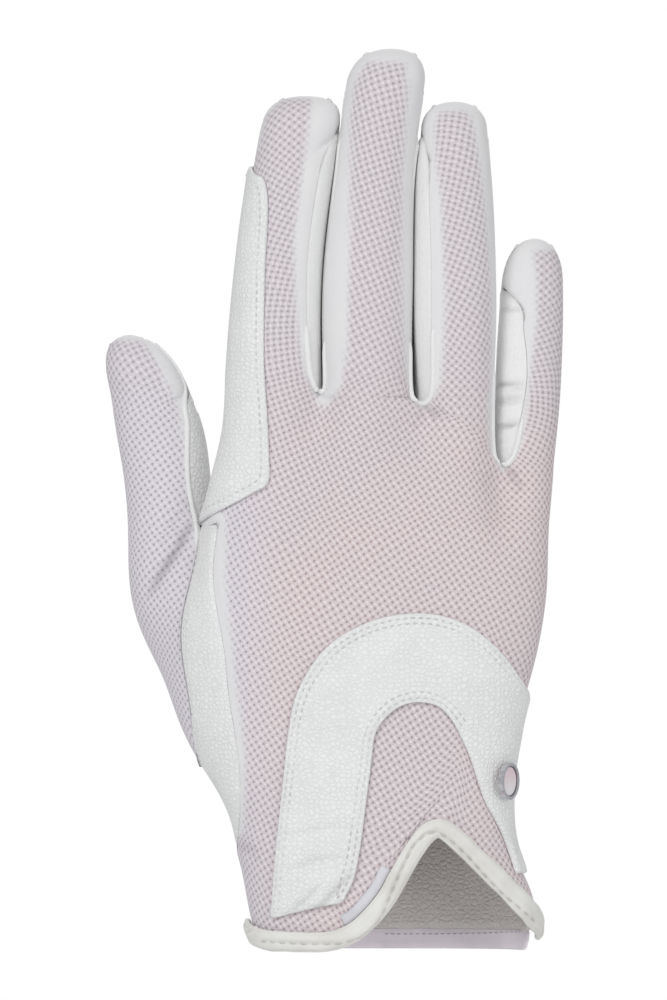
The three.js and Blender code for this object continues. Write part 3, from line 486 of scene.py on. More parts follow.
def knit_group():
    """Open warp knit: staggered small holes with raised strands between them, in millimetres of the map; the
    hole mask carries painted shade and the strand mask a painted highlight.
    """
    inputs = [
        ("Vector", "Vector", None),
        ("Across", "Float", 2.08),
        ("Along", "Float", 1.15),
        ("Tilt", "Float", 0.12),
    ]
    tree = group("open_knit", inputs, [("Hole Shade", "Float"), ("Strand Highlight", "Float"), ("Height", "Float")])
    n = Nodes(tree)
    given = tree.nodes.new("NodeGroupInput").outputs
    turned = n.new("VectorRotate", rotation_type="Z_AXIS")
    n.link(given["Vector"], turned.inputs["Vector"])
    n.link(given["Tilt"], turned.inputs["Angle"])
    wobble = n.new("TexNoise", noise_dimensions="3D")
    n.link(turned.outputs[0], wobble.inputs["Vector"])
    n.link(0.35, wobble.inputs["Scale"])
    offset = n.new("VectorMath", operation="SCALE")
    n.link(wobble.outputs["Color"], offset.inputs[0])
    n.link(0.5, offset.inputs["Scale"])
    moved = n.new("VectorMath", operation="ADD")
    n.link(turned.outputs[0], moved.inputs[0])
    n.link(offset.outputs[0], moved.inputs[1])
    parts = n.new("SeparateXYZ")
    n.link(moved.outputs[0], parts.inputs[0])
    column = n.maths("MULTIPLY", n.maths("DIVIDE", parts.outputs[0], given["Across"]), 2 * math.pi)
    row = n.maths("MULTIPLY", n.maths("DIVIDE", parts.outputs[1], given["Along"]), math.pi)
    weave = n.maths("MULTIPLY", n.maths("COSINE", column), n.maths("COSINE", row))
    hole = n.ramp(weave, 0.45, 0.95)
    slant = n.maths("SINE", n.maths("ADD", n.maths("MULTIPLY", column, 1.0), n.maths("MULTIPLY", row, 2.0)))
    rise = n.maths("ADD", n.maths("MULTIPLY", weave, -1.0), n.maths("MULTIPLY", slant, 0.35))
    strand = n.ramp(rise, -0.1, 1.1)
    height = n.maths("SUBTRACT", n.maths("MULTIPLY", strand, 0.6), hole)
    ends = tree.nodes.new("NodeGroupOutput").inputs
    n.link(hole, ends["Hole Shade"])
    n.link(strand, ends["Strand Highlight"])
    n.link(height, ends["Height"])
    return tree


def grain_group():
    """Pebbled leather grain with fine cracks between the pebbles, in metres of the object, with a crack mask
    that carries painted shade.
    """
    inputs = [("Vector", "Vector", None), ("Size", "Float", 1.2)]
    tree = group("leather_grain", inputs, [("Height", "Float"), ("Crack Shade", "Float"), ("Mottle", "Float")])
    n = Nodes(tree)
    given = tree.nodes.new("NodeGroupInput").outputs
    stretch = n.new("CombineXYZ")
    for share, socket in zip((0.85, 0.85, 1.0), stretch.inputs):
        n.link(share, socket)
    shaped = n.new("VectorMath", operation="MULTIPLY")
    n.link(given["Vector"], shaped.inputs[0])
    n.link(stretch.outputs[0], shaped.inputs[1])
    wobble = n.new("TexNoise")
    n.link(shaped.outputs[0], wobble.inputs["Vector"])
    n.link(700.0, wobble.inputs["Scale"])
    offset = n.new("VectorMath", operation="SCALE")
    n.link(wobble.outputs["Color"], offset.inputs[0])
    n.link(0.0004, offset.inputs["Scale"])
    moved = n.new("VectorMath", operation="ADD")
    n.link(shaped.outputs[0], moved.inputs[0])
    n.link(offset.outputs[0], moved.inputs[1])
    density = n.maths("DIVIDE", 1000.0, given["Size"])
    pebble = n.new("TexVoronoi", feature="DISTANCE_TO_EDGE")
    n.link(moved.outputs[0], pebble.inputs["Vector"])
    n.link(density, pebble.inputs["Scale"])
    n.link(0.8, pebble.inputs["Randomness"])
    crown = n.ramp(pebble.outputs["Distance"], 0.0, 0.28)
    fine = n.noise(shaped.outputs[0], 5200.0, 3.0, 0.6)
    broad = n.noise(given["Vector"], 130.0, 3.0, 0.55)
    deep = n.ramp(broad, 0.3, 0.7, 0.8, 1.0)
    height = n.maths("ADD", n.maths("MULTIPLY", crown, deep), n.maths("MULTIPLY", fine, 0.35))
    crack_shade = n.maths("MULTIPLY", n.ramp(pebble.outputs["Distance"], 0.14, 0.0), deep)
    ends = tree.nodes.new("NodeGroupOutput").inputs
    n.link(height, ends["Height"])
    n.link(crack_shade, ends["Crack Shade"])
    n.link(broad, ends["Mottle"])
    return tree


open_knit = knit_group()
leather_grain = grain_group()


def finish_of(name, roughness, sheen=0.0, coat=0.0):
    """A new material with its Principled shader, and the node helper."""
    material = bpy.data.materials.new(name)
    material.use_nodes = True
    n = Nodes(material.node_tree)
    shader = material.node_tree.nodes["Principled BSDF"]
    shader.inputs["Roughness"].default_value = roughness
    shader.inputs["Sheen Weight"].default_value = sheen
    shader.inputs["Sheen Roughness"].default_value = 0.5
    shader.inputs["Coat Weight"].default_value = coat
    shader.inputs["Specular IOR Level"].default_value = 0.35
    return material, n, shader


def crease_shaded(n, colour, tone):
    """A colour darkened towards a darker tone by painted shade where the cloth is creased."""
    return n.blend(n.value_at("crease_shade"), colour, tone)


def use(n, tree):
    """A node group placed in a material."""
    node = n.new("Group")
    node.node_tree = tree
    return node


def bump(n, shader, height, strength, distance):
    """Lets a height tilt the shader's normal."""
    node = n.new("Bump")
    n.link(height, node.inputs["Height"])
    n.link(strength, node.inputs["Strength"])
    n.link(distance, node.inputs["Distance"])
    n.link(node.outputs[0], shader.inputs["Normal"])


def knit_finish():
    """White and pink open knit, plain past the limits, cooler beside the thumb and on the fingers, with
    painted highlights on its strands and painted shade in its holes.
    """
    material, n, shader = finish_of("knit_cloth", 0.85, sheen=0.15)
    place = n.new("UVMap").outputs[0]
    knit = use(n, open_knit)
    n.link(place, knit.inputs["Vector"])
    plain = n.value_at("plain")
    shown = n.maths("SUBTRACT", 1.0, plain)
    where = n.new("TexCoord").outputs["Object"]
    tint = n.ramp(n.noise(where, 22.0, 3.0), 0.35, 0.65)
    level = n.new("SeparateXYZ")
    n.link(where, level.inputs[0])
    fingers = n.ramp(level.outputs[2], up(470), up(330))
    aside = n.ramp(level.outputs[0], across(300), across(215))
    pink = n.blend(tint, linear(216, 206, 209), linear(223, 207, 207))
    pink = n.blend(aside, pink, linear(221, 217, 225))
    base = n.blend(n.maths("MULTIPLY", fingers, 0.8), pink, linear(214, 208, 213))
    # Painted highlight: the raised strands are lightened towards near white.
    lit = n.blend(knit.outputs["Strand Highlight"], base, linear(240, 231, 234))
    # Painted shade: the holes are darkened towards dark mauve, a little less on the fingers.
    hole_shade = n.maths("MULTIPLY", knit.outputs["Hole Shade"], n.ramp(fingers, 0.0, 1.0, 0.66, 0.55))
    hole_shaded = n.blend(hole_shade, lit, linear(150, 136, 143))
    white = n.blend(n.noise(where, 60.0), linear(231, 231, 233), linear(239, 238, 237))
    colour = n.blend(plain, hole_shaded, white)
    # Painted shade darkens the colour along the creases.
    n.link(crease_shaded(n, colour, linear(120, 110, 115)), shader.inputs["Base Color"])
    fine = n.noise(where, 4200.0, 2.0)
    raised = n.maths("MULTIPLY", knit.outputs["Height"], shown)
    height = n.maths("ADD", raised, n.maths("MULTIPLY", fine, 0.15))
    bump(n, shader, height, 0.7, 0.00022)
    return material


def leather_finish(name, tone, crack_shade_and_mottle_tone, size, strength, roughness=0.52, inner=None):
    """Grained leather with painted shade in the cracks of its grain, and another tone on its inner face where
    one is given.
    """
    material, n, shader = finish_of(name, roughness)
    where = n.new("TexCoord").outputs["Object"]
    grain = use(n, leather_grain)
    n.link(where, grain.inputs["Vector"])
    n.link(size, grain.inputs["Size"])
    # Painted shade: the cracks are darkened towards the darker tone, which also serves the leather's own
    # random mottle.
    colour = n.blend(n.maths("MULTIPLY", grain.outputs["Crack Shade"], 0.45), tone, crack_shade_and_mottle_tone)
    colour = n.blend(n.ramp(grain.outputs["Mottle"], 0.3, 0.75, 0.0, 0.1), colour, crack_shade_and_mottle_tone)
    if inner is not None:
        colour = n.blend(n.value_at("outer"), inner, colour)
    # Painted shade darkens the colour along the creases.
    n.link(crease_shaded(n, colour, linear(120, 120, 120)), shader.inputs["Base Color"])
    dullness = n.ramp(grain.outputs["Height"], 0.2, 1.2, roughness + 0.12, roughness - 0.08)
    n.link(dullness, shader.inputs["Roughness"])
    bump(n, shader, grain.outputs["Height"], strength, 0.0003)
    return material


def tape_finish(name, tone, shade, roughness, sheen):
    """Smooth cloth laid double, with a very fine weave, and painted shade darkening its creases."""
    material, n, shader = finish_of(name, roughness, sheen=sheen)
    where = n.new("TexCoord").outputs["Object"]
    broad = n.noise(where, 90.0, 3.0)
    colour = n.blend(n.ramp(broad, 0.35, 0.7), tone, shade)
    # Painted shade darkens the colour along the creases.
    n.link(crease_shaded(n, colour, linear(130, 128, 124)), shader.inputs["Base Color"])
    fine = n.noise(where, 3500.0, 3.0, 0.6)
    bump(n, shader, n.maths("ADD", fine, n.maths("MULTIPLY", broad, 2.0)), 0.35, 0.0002)
    return material


def metal_finish():
    """Slightly worn bright metal."""
    material, n, shader = finish_of("badge_rim_metal", 0.22)
    shader.inputs["Metallic"].default_value = 1.0
    where = n.new("TexCoord").outputs["Object"]
    worn = n.noise(where, 900.0, 3.0)
    n.link(n.blend(worn, linear(196, 196, 200), linear(226, 226, 230)), shader.inputs["Base Color"])
    n.link(n.ramp(worn, 0.3, 0.7, 0.16, 0.3), shader.inputs["Roughness"])
    return material


def enamel_finish():
    """Glossy enamel that pales upwards."""
    material, n, shader = finish_of("badge_enamel", 0.18, coat=0.6)
    where = n.new("TexCoord").outputs["Object"]
    height = n.new("SeparateXYZ")
    n.link(where, height.inputs[0])
    shade = n.ramp(height.outputs[2], up(795), up(765))
    n.link(n.blend(shade, linear(246, 243, 244), linear(238, 214, 220)), shader.inputs["Base Color"])
    bump(n, shader, n.noise(where, 1500.0), 0.05, 0.0001)
    return material


knit_cloth = knit_finish()
grained_leather = leather_finish("grained_leather", linear(245, 245, 244), linear(214, 215, 215), 1.15, 0.5)
palm_leather = leather_finish(
    "palm_leather", linear(240, 240, 239), linear(208, 208, 207), 1.3, 0.6, inner=linear(213, 208, 204)
)
smooth_leather = leather_finish(
    "smooth_leather", linear(243, 243, 242), linear(232, 232, 231), 0.9, 0.12, roughness=0.5
)
binding_tape = tape_finish("binding_tape", linear(237, 236, 231), linear(225, 223, 217), 0.62, 0.2)
# The hem is white: its lavender tint is painted cool shade.
hem_tape = tape_finish("hem_tape", linear(245, 237, 244), linear(231, 223, 231), 0.68, 0.2)
facing_tape = tape_finish("facing_tape", linear(229, 229, 234), linear(215, 215, 220), 0.66, 0.2)
thread = tape_finish("sewing_thread", linear(232, 232, 230), linear(206, 206, 204), 0.6, 0.2)
binding_thread = tape_finish("binding_thread", linear(214, 212, 206), linear(194, 192, 186), 0.65, 0.2)
# Painted cool shade: the hem's thread takes the same lavender tint as the hem.
hem_thread = tape_finish("hem_thread", linear(212, 204, 210), linear(190, 182, 189), 0.65, 0.2)
badge_metal = metal_finish()
badge_enamel = enamel_finish()


# Where the open knit shows on each digit: row, left and right limit in pixels of the photograph.
# Past these limits it is plain white.
KNIT_LIMITS = {
    "index": [
        (98, 283, 312), (116, 266, 310), (150, 258, 306), (190, 200, 300), (240, 200, 294),
        (285, 200, 295), (330, 200, 298), (372, 200, 304), (402, 200, 318), (425, 200, 345),
    ],
    "middle": [
        (62, 366, 405), (85, 354, 408), (120, 350, 406), (180, 350, 402), (280, 349, 402),
        (350, 347, 404), (385, 342, 408), (404, 330, 418), (425, 305, 440),
    ],
    "ring": [
        (111, 440, 468), (126, 434, 474), (164, 436, 480), (200, 441, 484), (250, 443, 488),
        (300, 445, 491), (350, 443, 491), (385, 440, 489), (405, 430, 488), (425, 410, 488),
        (450, 390, 489), (478, 390, 505), (500, 390, 540),
    ],
    "little": [
        (250, 534, 580), (280, 537, 580), (320, 537, 580), (360, 532, 580), (400, 528, 580),
        (440, 523, 580), (462, 513, 580), (480, 495, 580), (500, 480, 580),
    ],
    "thumb": [
        (340, 90, 142), (366, 90, 160), (406, 90, 177), (436, 90, 183), (464, 90, 187),
        (488, 90, 190), (534, 90, 193), (560, 90, 201), (600, 90, 240),
    ],
    "strip": [
        (470, 150, 700), (516, 226, 700), (578, 226, 700), (627, 231, 700), (662, 234, 700),
        (699, 239, 700), (760, 246, 700), (836, 243, 700), (850, 150, 700),
    ],
}
BACK_DIGITS = ("index", "middle", "ring", "little")


def knit_shown(digit, points):
    """How much of the knit shows at each point, from the limits of one digit."""
    rows = KNIT_LIMITS[digit][::-1]
    levels = np.array([up(row) for row, _, _ in rows])
    left = np.interp(points[:, 2], levels, [across(column) for _, column, _ in rows])
    right = np.interp(points[:, 2], levels, [across(column) for _, _, column in rows])
    soft = 1.1 * MM
    shown = smooth(-soft, soft, points[:, 0] - left) * smooth(-soft, soft, right - points[:, 0])
    return shown * smooth(-soft, soft, levels[-1] - points[:, 2])


# Sewn panels of the glove

def finish_panel(piece, node, material, levels):
    """Rounds a panel off, eases its folds, rolls its edges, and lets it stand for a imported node."""
    round_off(piece, levels)
    even_rims(piece, RIM_ROUNDS)
    ease(piece, EASE_CLEAR, EASE_ROUNDS)
    ease(piece, EASE_CLEAR, FORK_ROUNDS, up(FORK_ROWS[0]), up(FORK_ROWS[1]))
    soften_edges(piece, EDGE_DEPTH, EDGE_WIDTH)
    piece.data.materials.append(material)
    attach(piece, "root")
    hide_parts(node)
    return piece


def sewn_panel(name, node, wall, outside, material, reach=SEAM_REACH):
    """A panel whose rims meet its neighbours'."""
    piece = copy_wall(name, node)
    mark_rims(piece, wall, outside, SEWN_CREASE)
    sew(piece, reach)
    return finish_panel(piece, node, material, LEVELS)


def mesh_panel(name, node, low, high):
    """A sewn panel of open knit, with its map laid flat between two levels."""
    piece = copy_wall(name, node)
    mark_rims(piece, CLOTH_WALL, BACK, SEWN_CREASE)
    lay_flat(piece, low, high)
    sew(piece, SEAM_REACH)
    return finish_panel(piece, node, knit_cloth, LEVELS)


back = mesh_panel("back_mesh", "back_panel", 40 * MM, 125 * MM)
back_points = points_of(back.data)
shown = np.max([knit_shown(digit, back_points) for digit in BACK_DIGITS], axis=0)
below_fingers = smooth(up(455), up(470), back_points[:, 2])
shown = np.maximum(shown, below_fingers * (back_points[:, 0] < across(480)))
shown = np.minimum(shown, np.maximum(knit_shown("strip", back_points), back_points[:, 2] > up(480)))
put_mask(back.data, "plain", 1 - shown)

thumb = mesh_panel("thumb_mesh", "thumb_back", 50 * MM, 150 * MM)
put_mask(thumb.data, "plain", 1 - knit_shown("thumb", points_of(thumb.data)))

palm = sewn_panel("palm_leather", "palm_panel", LEATHER_WALL, PALM, palm_leather)
thumb_palm = sewn_panel("thumb_leather", "thumb_palm", LEATHER_WALL, PALM, palm_leather)
strip = sewn_panel(
    "thumb_base_leather", "thumb_base_wrap", LEATHER_WALL, BACK, grained_leather
)
finger_sides = {}
for pair in ("index_middle", "middle_ring", "ring_little"):
    finger_sides[pair] = sewn_panel(
        "finger_side_" + pair, "fourchette_" + pair, FOURCHETTE_WALL, TOP, smooth_leather
    )
hem = sewn_panel("palm_hem_tape", "palm_hem", CLOTH_WALL, PALM, hem_tape, HEM_REACH)


# A fork's two walls all but touch: how deep in it they start to and do, how far a wall looks for the other,
# the start of that look off the wall, and the slit that stays
FORK_SHALLOWEST = -1 * MM
FORK_DEEPEST = 3.5 * MM
FORK_LOOK = 5 * MM
FORK_START = 0.1 * MM
FORK_SLIT = 0.02 * MM


def close_gap(piece):
    """Fills out the two walls of a fork between fingers until they all but touch, in its deeper half."""
    mesh = piece.data
    points = points_of(mesh)
    normals = normals_of(mesh)
    tree = BVHTree.FromObject(piece, bpy.context.evaluated_depsgraph_get())
    outer = mask_of(mesh, "outer") > 0.99
    moved = points.copy()
    for i in np.nonzero(outer)[0]:
        facing = Vector((math.copysign(1, normals[i][0]), 0, 0))
        if abs(normals[i][0]) < 0.5:
            continue
        _, _, _, reach = tree.ray_cast(Vector(points[i]) + facing * FORK_START, facing, FORK_LOOK)
        if reach is None:
            continue
        share = smooth(FORK_SHALLOWEST, FORK_DEEPEST, points[i][1])
        moved[i][0] += facing[0] * share * max(0, (reach + FORK_START) / 2 - FORK_SLIT)
    put_points(mesh, moved)


close_gap(finger_sides["index_middle"])
close_gap(finger_sides["middle_ring"])


# Raised pieces

def raised_piece(name, node, wall, outside, material, levels, crease):
    """A piece that lies on the others, with its rims free."""
    piece = copy_wall(name, node)
    mark_rims(piece, wall, outside, crease)
    return finish_panel(piece, node, material, levels)


flap = raised_piece(
    "closure_leather", "closure_flap", OVERLAY_WALL, BACK, grained_leather,
    LEVELS, CUT_CREASE,
)
side = raised_piece(
    "index_side_leather", "index_side_panel", OVERLAY_WALL, THUMB_SIDE, grained_leather,
    LEVELS, CUT_CREASE,
)
binding = raised_piece(
    "wrist_binding_tape", "wrist_binding", BINDING_WALL, BACK, binding_tape,
    BINDING_LEVELS, 0.0,
)
raised_piece(
    "vent_facing_tape", "vent_facing", FACING_WALL, BACK, facing_tape, LEVELS, FACING_CREASE
)


# Creases, in pixels of the photograph, with widths and depths in millimetres, and the share of painted shade
# that darkens each
FLAP_CREASES = [
    dict(line=[(292, 921), (322, 902), (353, 869)], width=1.3, depth=0.6, shade=0.3),
    dict(line=[(286, 912), (303, 899), (320, 882)], width=1.1, depth=0.4, shade=0.2),
    dict(line=[(322, 916), (340, 905), (353, 889)], width=1.0, depth=0.4, shade=0.25),
    dict(line=[(283, 869), (312, 858), (347, 853)], width=1.2, depth=0.25, shade=0.12),
    dict(line=[(285, 834), (318, 825), (352, 823)], width=1.2, depth=0.2, shade=0.1),
]
THUMB_CREASES = [
    dict(line=[(199, 514), (184, 534), (176, 550), (160, 574), (147, 597)], width=1.5, depth=0.9, shade=0.55),
    dict(line=[(191, 500), (174, 522), (158, 550)], width=1.5, depth=0.5, shade=0.12),
]
BACK_CREASES = [
    dict(line=[(408, 396), (424, 405), (440, 420)], width=1.3, depth=0.5, shade=0.35),
    dict(line=[(424, 400), (418, 416), (415, 432)], width=1.2, depth=0.3, shade=0.25),
    dict(line=[(500, 458), (512, 473), (523, 492)], width=1.3, depth=0.6, shade=0.3),
    dict(line=[(310, 392), (328, 397), (345, 400)], width=1.2, depth=0.3, shade=0.2),
    dict(line=[(236, 842), (250, 849), (262, 858)], width=1.4, depth=0.35, shade=0.2),
]
LITTLE_SIDE_CREASES = [
    dict(line=[(498, 309), (530, 309)], width=0.9, depth=0.5, shade=0.2),
    dict(line=[(497, 384), (512, 386), (526, 387)], width=0.9, depth=0.6, shade=0.5),
    dict(line=[(497, 402), (511, 400), (524, 401)], width=1.1, depth=0.7, shade=0.3),
    dict(line=[(496, 428), (508, 426), (520, 422)], width=0.9, depth=0.5, shade=0.5),
]
BINDING_LINE = [
    (258, 939), (300, 941), (340, 941), (358, 935), (372, 926), (383, 909), (391, 890), (401, 866),
    (412, 843), (424, 832), (437, 829), (450, 838), (466, 853), (484, 873), (502, 892), (522, 909),
    (536, 922),
]
BINDING_GROOVE = [dict(line=BINDING_LINE, width=0.6, depth=0.45, shade=0.25)]
press(binding, BINDING_GROOVE)
press(flap, FLAP_CREASES)
press(thumb, THUMB_CREASES)
press(back, BACK_CREASES)
press(finger_sides["ring_little"], LITTLE_SIDE_CREASES)


def fit_finish(node, material):
    """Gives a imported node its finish."""
    mesh = nodes[node].data
    mesh.materials.clear()
    mesh.materials.append(material)
    only(nodes[node])
    bpy.ops.object.shade_smooth_by_angle(angle=math.radians(40))


fit_finish("badge_ring", badge_metal)
fit_finish("badge_disc", badge_enamel)


# Rows of stitches along the rims

def rim_loop(piece, start, via, end):
    """The outer rim's vertices from one place to another, by way of a third, as places on the front."""
    mesh = piece.data
    points = points_of(mesh)
    keep = (mask_of(mesh, "rim") > 0.99) & (mask_of(mesh, "outer") > 0.99)
    beside = {}
    for edge in mesh.edges:
        a, b = edge.vertices
        if edge.use_seam and keep[a] and keep[b]:
            beside.setdefault(a, []).append(b)
            beside.setdefault(b, []).append(a)
    front = points[:, [0, 2]]
    rim = np.array(sorted(beside))

    def nearest(place):
        spot = np.array([across(place[0]), up(place[1])])
        return int(rim[np.argmin(np.linalg.norm(front[rim] - spot, axis=1))])

    def walk(first, towards):
        path = [first, towards]
        while path[-1] != first and len(path) < len(rim) + 2:
            following = [v for v in beside[path[-1]] if v != path[-2]]
            if not following:
                break
            path.append(following[0])
        return path

    first, middle, last = nearest(start), nearest(via), nearest(end)
    for towards in beside[first]:
        path = walk(first, towards)
        if last in path[1:]:
            path = path[: path.index(last, 1) + 1]
            if middle in path:
                return path
    raise ValueError(piece.name + " has no rim from " + str(start) + " to " + str(end))


def inset_line(piece, loop, inset):
    """Points and normals on the outer face at a distance in from a stretch of its rim."""
    mesh = piece.data
    points = points_of(mesh)
    normals = normals_of(mesh)
    tree = BVHTree.FromObject(piece, bpy.context.evaluated_depsgraph_get())
    outer = mask_of(mesh, "outer") > 0.99
    inner_side = {}
    rim_set = set(loop)
    for face in mesh.polygons:
        members = [v for v in face.vertices if v in rim_set]
        if members and all(outer[v] for v in face.vertices):
            for v in members:
                inner_side.setdefault(v, []).append(np.array(face.center))
    line = []
    for i, v in enumerate(loop):
        along = points[loop[min(i + 1, len(loop) - 1)]] - points[loop[max(i - 1, 0)]]
        along /= np.linalg.norm(along)
        if v not in inner_side:
            continue
        inward = np.mean(inner_side[v], axis=0) - points[v]
        inward -= along * (inward @ along)
        inward /= np.linalg.norm(inward)
        spot = points[v] + inward * inset + normals[v] * 0.5 * MM
        found, normal, _, _ = tree.find_nearest(Vector(spot))
        line.append((np.array(found), np.array(normal)))
    return line


# How many points of a line are evened out together, and how far its direction looks, as a share of the pitch
RUN_OF_POINTS = 7
AHEAD = 0.2


def even(line, pitch):
    """Places at an even pitch along a line, with their normal and direction."""
    spots = np.array([p for p, _ in line])
    faces = np.array([q for _, q in line])
    if len(spots) > RUN_OF_POINTS:
        share = np.ones(RUN_OF_POINTS) / RUN_OF_POINTS
        padded = np.pad(spots, ((RUN_OF_POINTS // 2, RUN_OF_POINTS // 2), (0, 0)), mode="edge")
        spots = np.stack([np.convolve(padded[:, k], share, "valid") for k in range(3)], 1)
    run = np.concatenate([[0], np.cumsum(np.linalg.norm(np.diff(spots, axis=0), axis=1))])
    marks = np.arange(pitch / 2, run[-1], pitch)
    at = np.stack([np.interp(marks, run, spots[:, k]) for k in range(3)], 1)
    ahead = np.stack([np.interp(marks + AHEAD * pitch, run, spots[:, k]) for k in range(3)], 1)
    behind = np.stack([np.interp(marks - AHEAD * pitch, run, spots[:, k]) for k in range(3)], 1)
    normal = np.stack([np.interp(marks, run, faces[:, k]) for k in range(3)], 1)
    return at, normal, ahead - behind


def stitch_form():
    """One stitch: a short thread with its ends drawn down into the cloth."""
    bpy.ops.object.select_all(action="DESELECT")
    bpy.ops.mesh.primitive_uv_sphere_add(segments=8, ring_count=6, radius=1.0)
    form = bpy.context.object
    points = points_of(form.data)[:, [2, 0, 1]]
    faces = [tuple(face.vertices) for face in form.data.polygons]
    bpy.data.objects.remove(form)
    points[:, 2] -= 0.9 * points[:, 0] ** 2
    return points, faces


STITCH_POINTS, STITCH_FACES = stitch_form()


def sewn_on(name, points, faces, material):
    """A new smooth piece that belongs to the glove's cloth."""
    mesh = bpy.data.meshes.new(name)
    mesh.from_pydata([tuple(p) for p in points], [], faces)
    piece = bpy.data.objects.new(name, mesh)
    bpy.context.scene.collection.objects.link(piece)
    only(piece)
    bpy.ops.object.shade_smooth()
    mesh.materials.append(material)
    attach(piece, "root")


def stitches(name, lines, slot, material, pitch, length, thick, rise):
    """All the stitches of some lines as one piece."""
    points = []
    faces = []
    for line in lines:
        for place, normal, ahead in zip(*even(line, pitch)):
            ahead = ahead / np.linalg.norm(ahead)
            normal = normal - ahead * (normal @ ahead)
            normal /= np.linalg.norm(normal)
            aside = np.cross(normal, ahead)
            size = np.array([length / 2, thick / 2, thick / 2])
            form = STITCH_POINTS * size
            base = len(points)
            points.extend(place + form @ np.stack([ahead, aside, normal]) + normal * rise)
            faces.extend(tuple(v + base for v in face) for face in STITCH_FACES)
    sewn_on(name, points, faces, material)


# One stitch of each kind of row
LEATHER_STITCH = dict(pitch=1.95 * MM, length=1.5 * MM, thick=0.5 * MM, rise=0.04 * MM)
BINDING_STITCH = dict(pitch=3.0 * MM, length=2.1 * MM, thick=0.6 * MM, rise=0.1 * MM)
HEM_STITCH = dict(pitch=1.6 * MM, length=1.15 * MM, thick=0.42 * MM, rise=0.06 * MM)

# Stitch rows on leather: three places of the rim in pixels of the photograph, and the insets in millimetres
STITCH_ROWS = [
    dict(name="closure_outer_stitches", piece=flap, start=(275, 922), via=(420, 613), end=(522, 690),
         insets=(1.0, 2.5)),
    dict(name="closure_inner_stitches", piece=flap, start=(341, 920), via=(387, 715), end=(458, 730),
         insets=(1.2, 2.8)),
    dict(name="side_panel_stitches", piece=side, start=(252, 164), via=(266, 300), end=(205, 519),
         insets=(1.9,)),
    dict(name="thumb_base_stitches", piece=strip, start=(196, 524), via=(178, 634), end=(193, 745),
         insets=(1.0, 2.4)),
]
for row in STITCH_ROWS:
    rim = rim_loop(row["piece"], row["start"], row["via"], row["end"])
    lines = [inset_line(row["piece"], rim, inset * MM) for inset in row["insets"]]
    stitches(row["name"], lines, "grained_leather", thread, **LEATHER_STITCH)

# Lines of sight: how close they lie and how far in front of the glove they start
SIGHT_STEP = 0.5 * MM
SIGHT_START = -0.2


def front_line(piece, places):
    """Points and normals where lines of sight through pixels of the photograph meet a piece."""
    tree = BVHTree.FromObject(piece, bpy.context.evaluated_depsgraph_get())
    spots = np.array([(across(x), up(y)) for x, y in places])
    run = np.concatenate([[0], np.cumsum(np.linalg.norm(np.diff(spots, axis=0), axis=1))])
    marks = np.arange(0, run[-1], SIGHT_STEP)
    line = []
    for mark in marks:
        start = Vector((np.interp(mark, run, spots[:, 0]), SIGHT_START, np.interp(mark, run, spots[:, 1])))
        found, normal, _, _ = tree.ray_cast(start, Vector((0, 1, 0)))
        if found is not None:
            line.append((np.array(found), np.array(normal)))
    return line


# The stitched line of the palm's hem, in pixels of the photograph
HEM_LINE = [(382, 937), (430, 937), (480, 936), (524, 933)]
binding_row = front_line(binding, BINDING_LINE)
stitches("binding_stitches", [binding_row], "binding_cloth", binding_thread, **BINDING_STITCH)
hem_row = front_line(hem, HEM_LINE)
stitches("hem_stitches", [hem_row], "hem_cloth", hem_thread, **HEM_STITCH)


# Rolled edges: soft tubes that run along a rim and thin out at both ends

# A roll's section, the steps along it, the steps over which it thins out, and how thin it ends
ROLL_SIDES = 10
ROLL_STEP = 0.6 * MM
ROLL_TAPER_STEPS = 6
ROLL_END = 0.15


def rolled_edge(name, lines, radius):
    """Tubes of finger-side leather along some lines, as one piece."""
    points = []
    faces = []
    sides = ROLL_SIDES
    for line in lines:
        at, normal, ahead = even(line, ROLL_STEP)
        count = len(at)
        from_end = np.minimum(np.arange(count), np.arange(count)[::-1])
        taper = np.clip(from_end / ROLL_TAPER_STEPS + ROLL_END, 0, 1) ** 0.5
        base = len(points)
        for i in range(count):
            run = ahead[i] / np.linalg.norm(ahead[i])
            rise = normal[i] - run * (normal[i] @ run)
            rise /= np.linalg.norm(rise)
            aside = np.cross(rise, run)
            for k in range(sides):
                turn = 2 * math.pi * k / sides
                reach = aside * math.cos(turn) + rise * math.sin(turn)
                points.append(at[i] + reach * radius * taper[i])
        for i in range(count - 1):
            for k in range(sides):
                a = base + i * sides + k
                b = base + i * sides + (k + 1) % sides
                faces.append((a, a + sides, b + sides, b))
        faces.append(tuple(base + k for k in range(sides)))
        faces.append(tuple(base + (count - 1) * sides + k for k in range(sides))[::-1])
    sewn_on(name, points, faces, smooth_leather)


def rim_line(piece, start, via, end, inset):
    """The stretch of a rim between two places, a little way in on the face."""
    return inset_line(piece, rim_loop(piece, start, via, end), inset)


# Where the knit is rolled round the crotches, and the thumb's seam: three places of each rim in pixels
CROTCH_ROLLS = [
    dict(start=(309, 318), via=(324, 392), end=(327, 330)),
    dict(start=(413, 330), via=(420, 400), end=(431, 318)),
    dict(start=(498, 360), via=(501, 463), end=(521, 410)),
]
THUMB_ROLL = dict(start=(146, 345), via=(172, 389), end=(184, 552))
CROTCH_RADIUS = 0.75 * MM
CROTCH_INSET = 0.25 * MM
THUMB_RADIUS = 0.65 * MM
THUMB_INSET = 0.1 * MM
crotch_lines = [rim_line(back, inset=CROTCH_INSET, **row) for row in CROTCH_ROLLS]
rolled_edge("crotch_rolls", crotch_lines, CROTCH_RADIUS)
rolled_edge("thumb_seam_roll", [rim_line(thumb, inset=THUMB_INSET, **THUMB_ROLL)], THUMB_RADIUS)


# Camera, floor and light

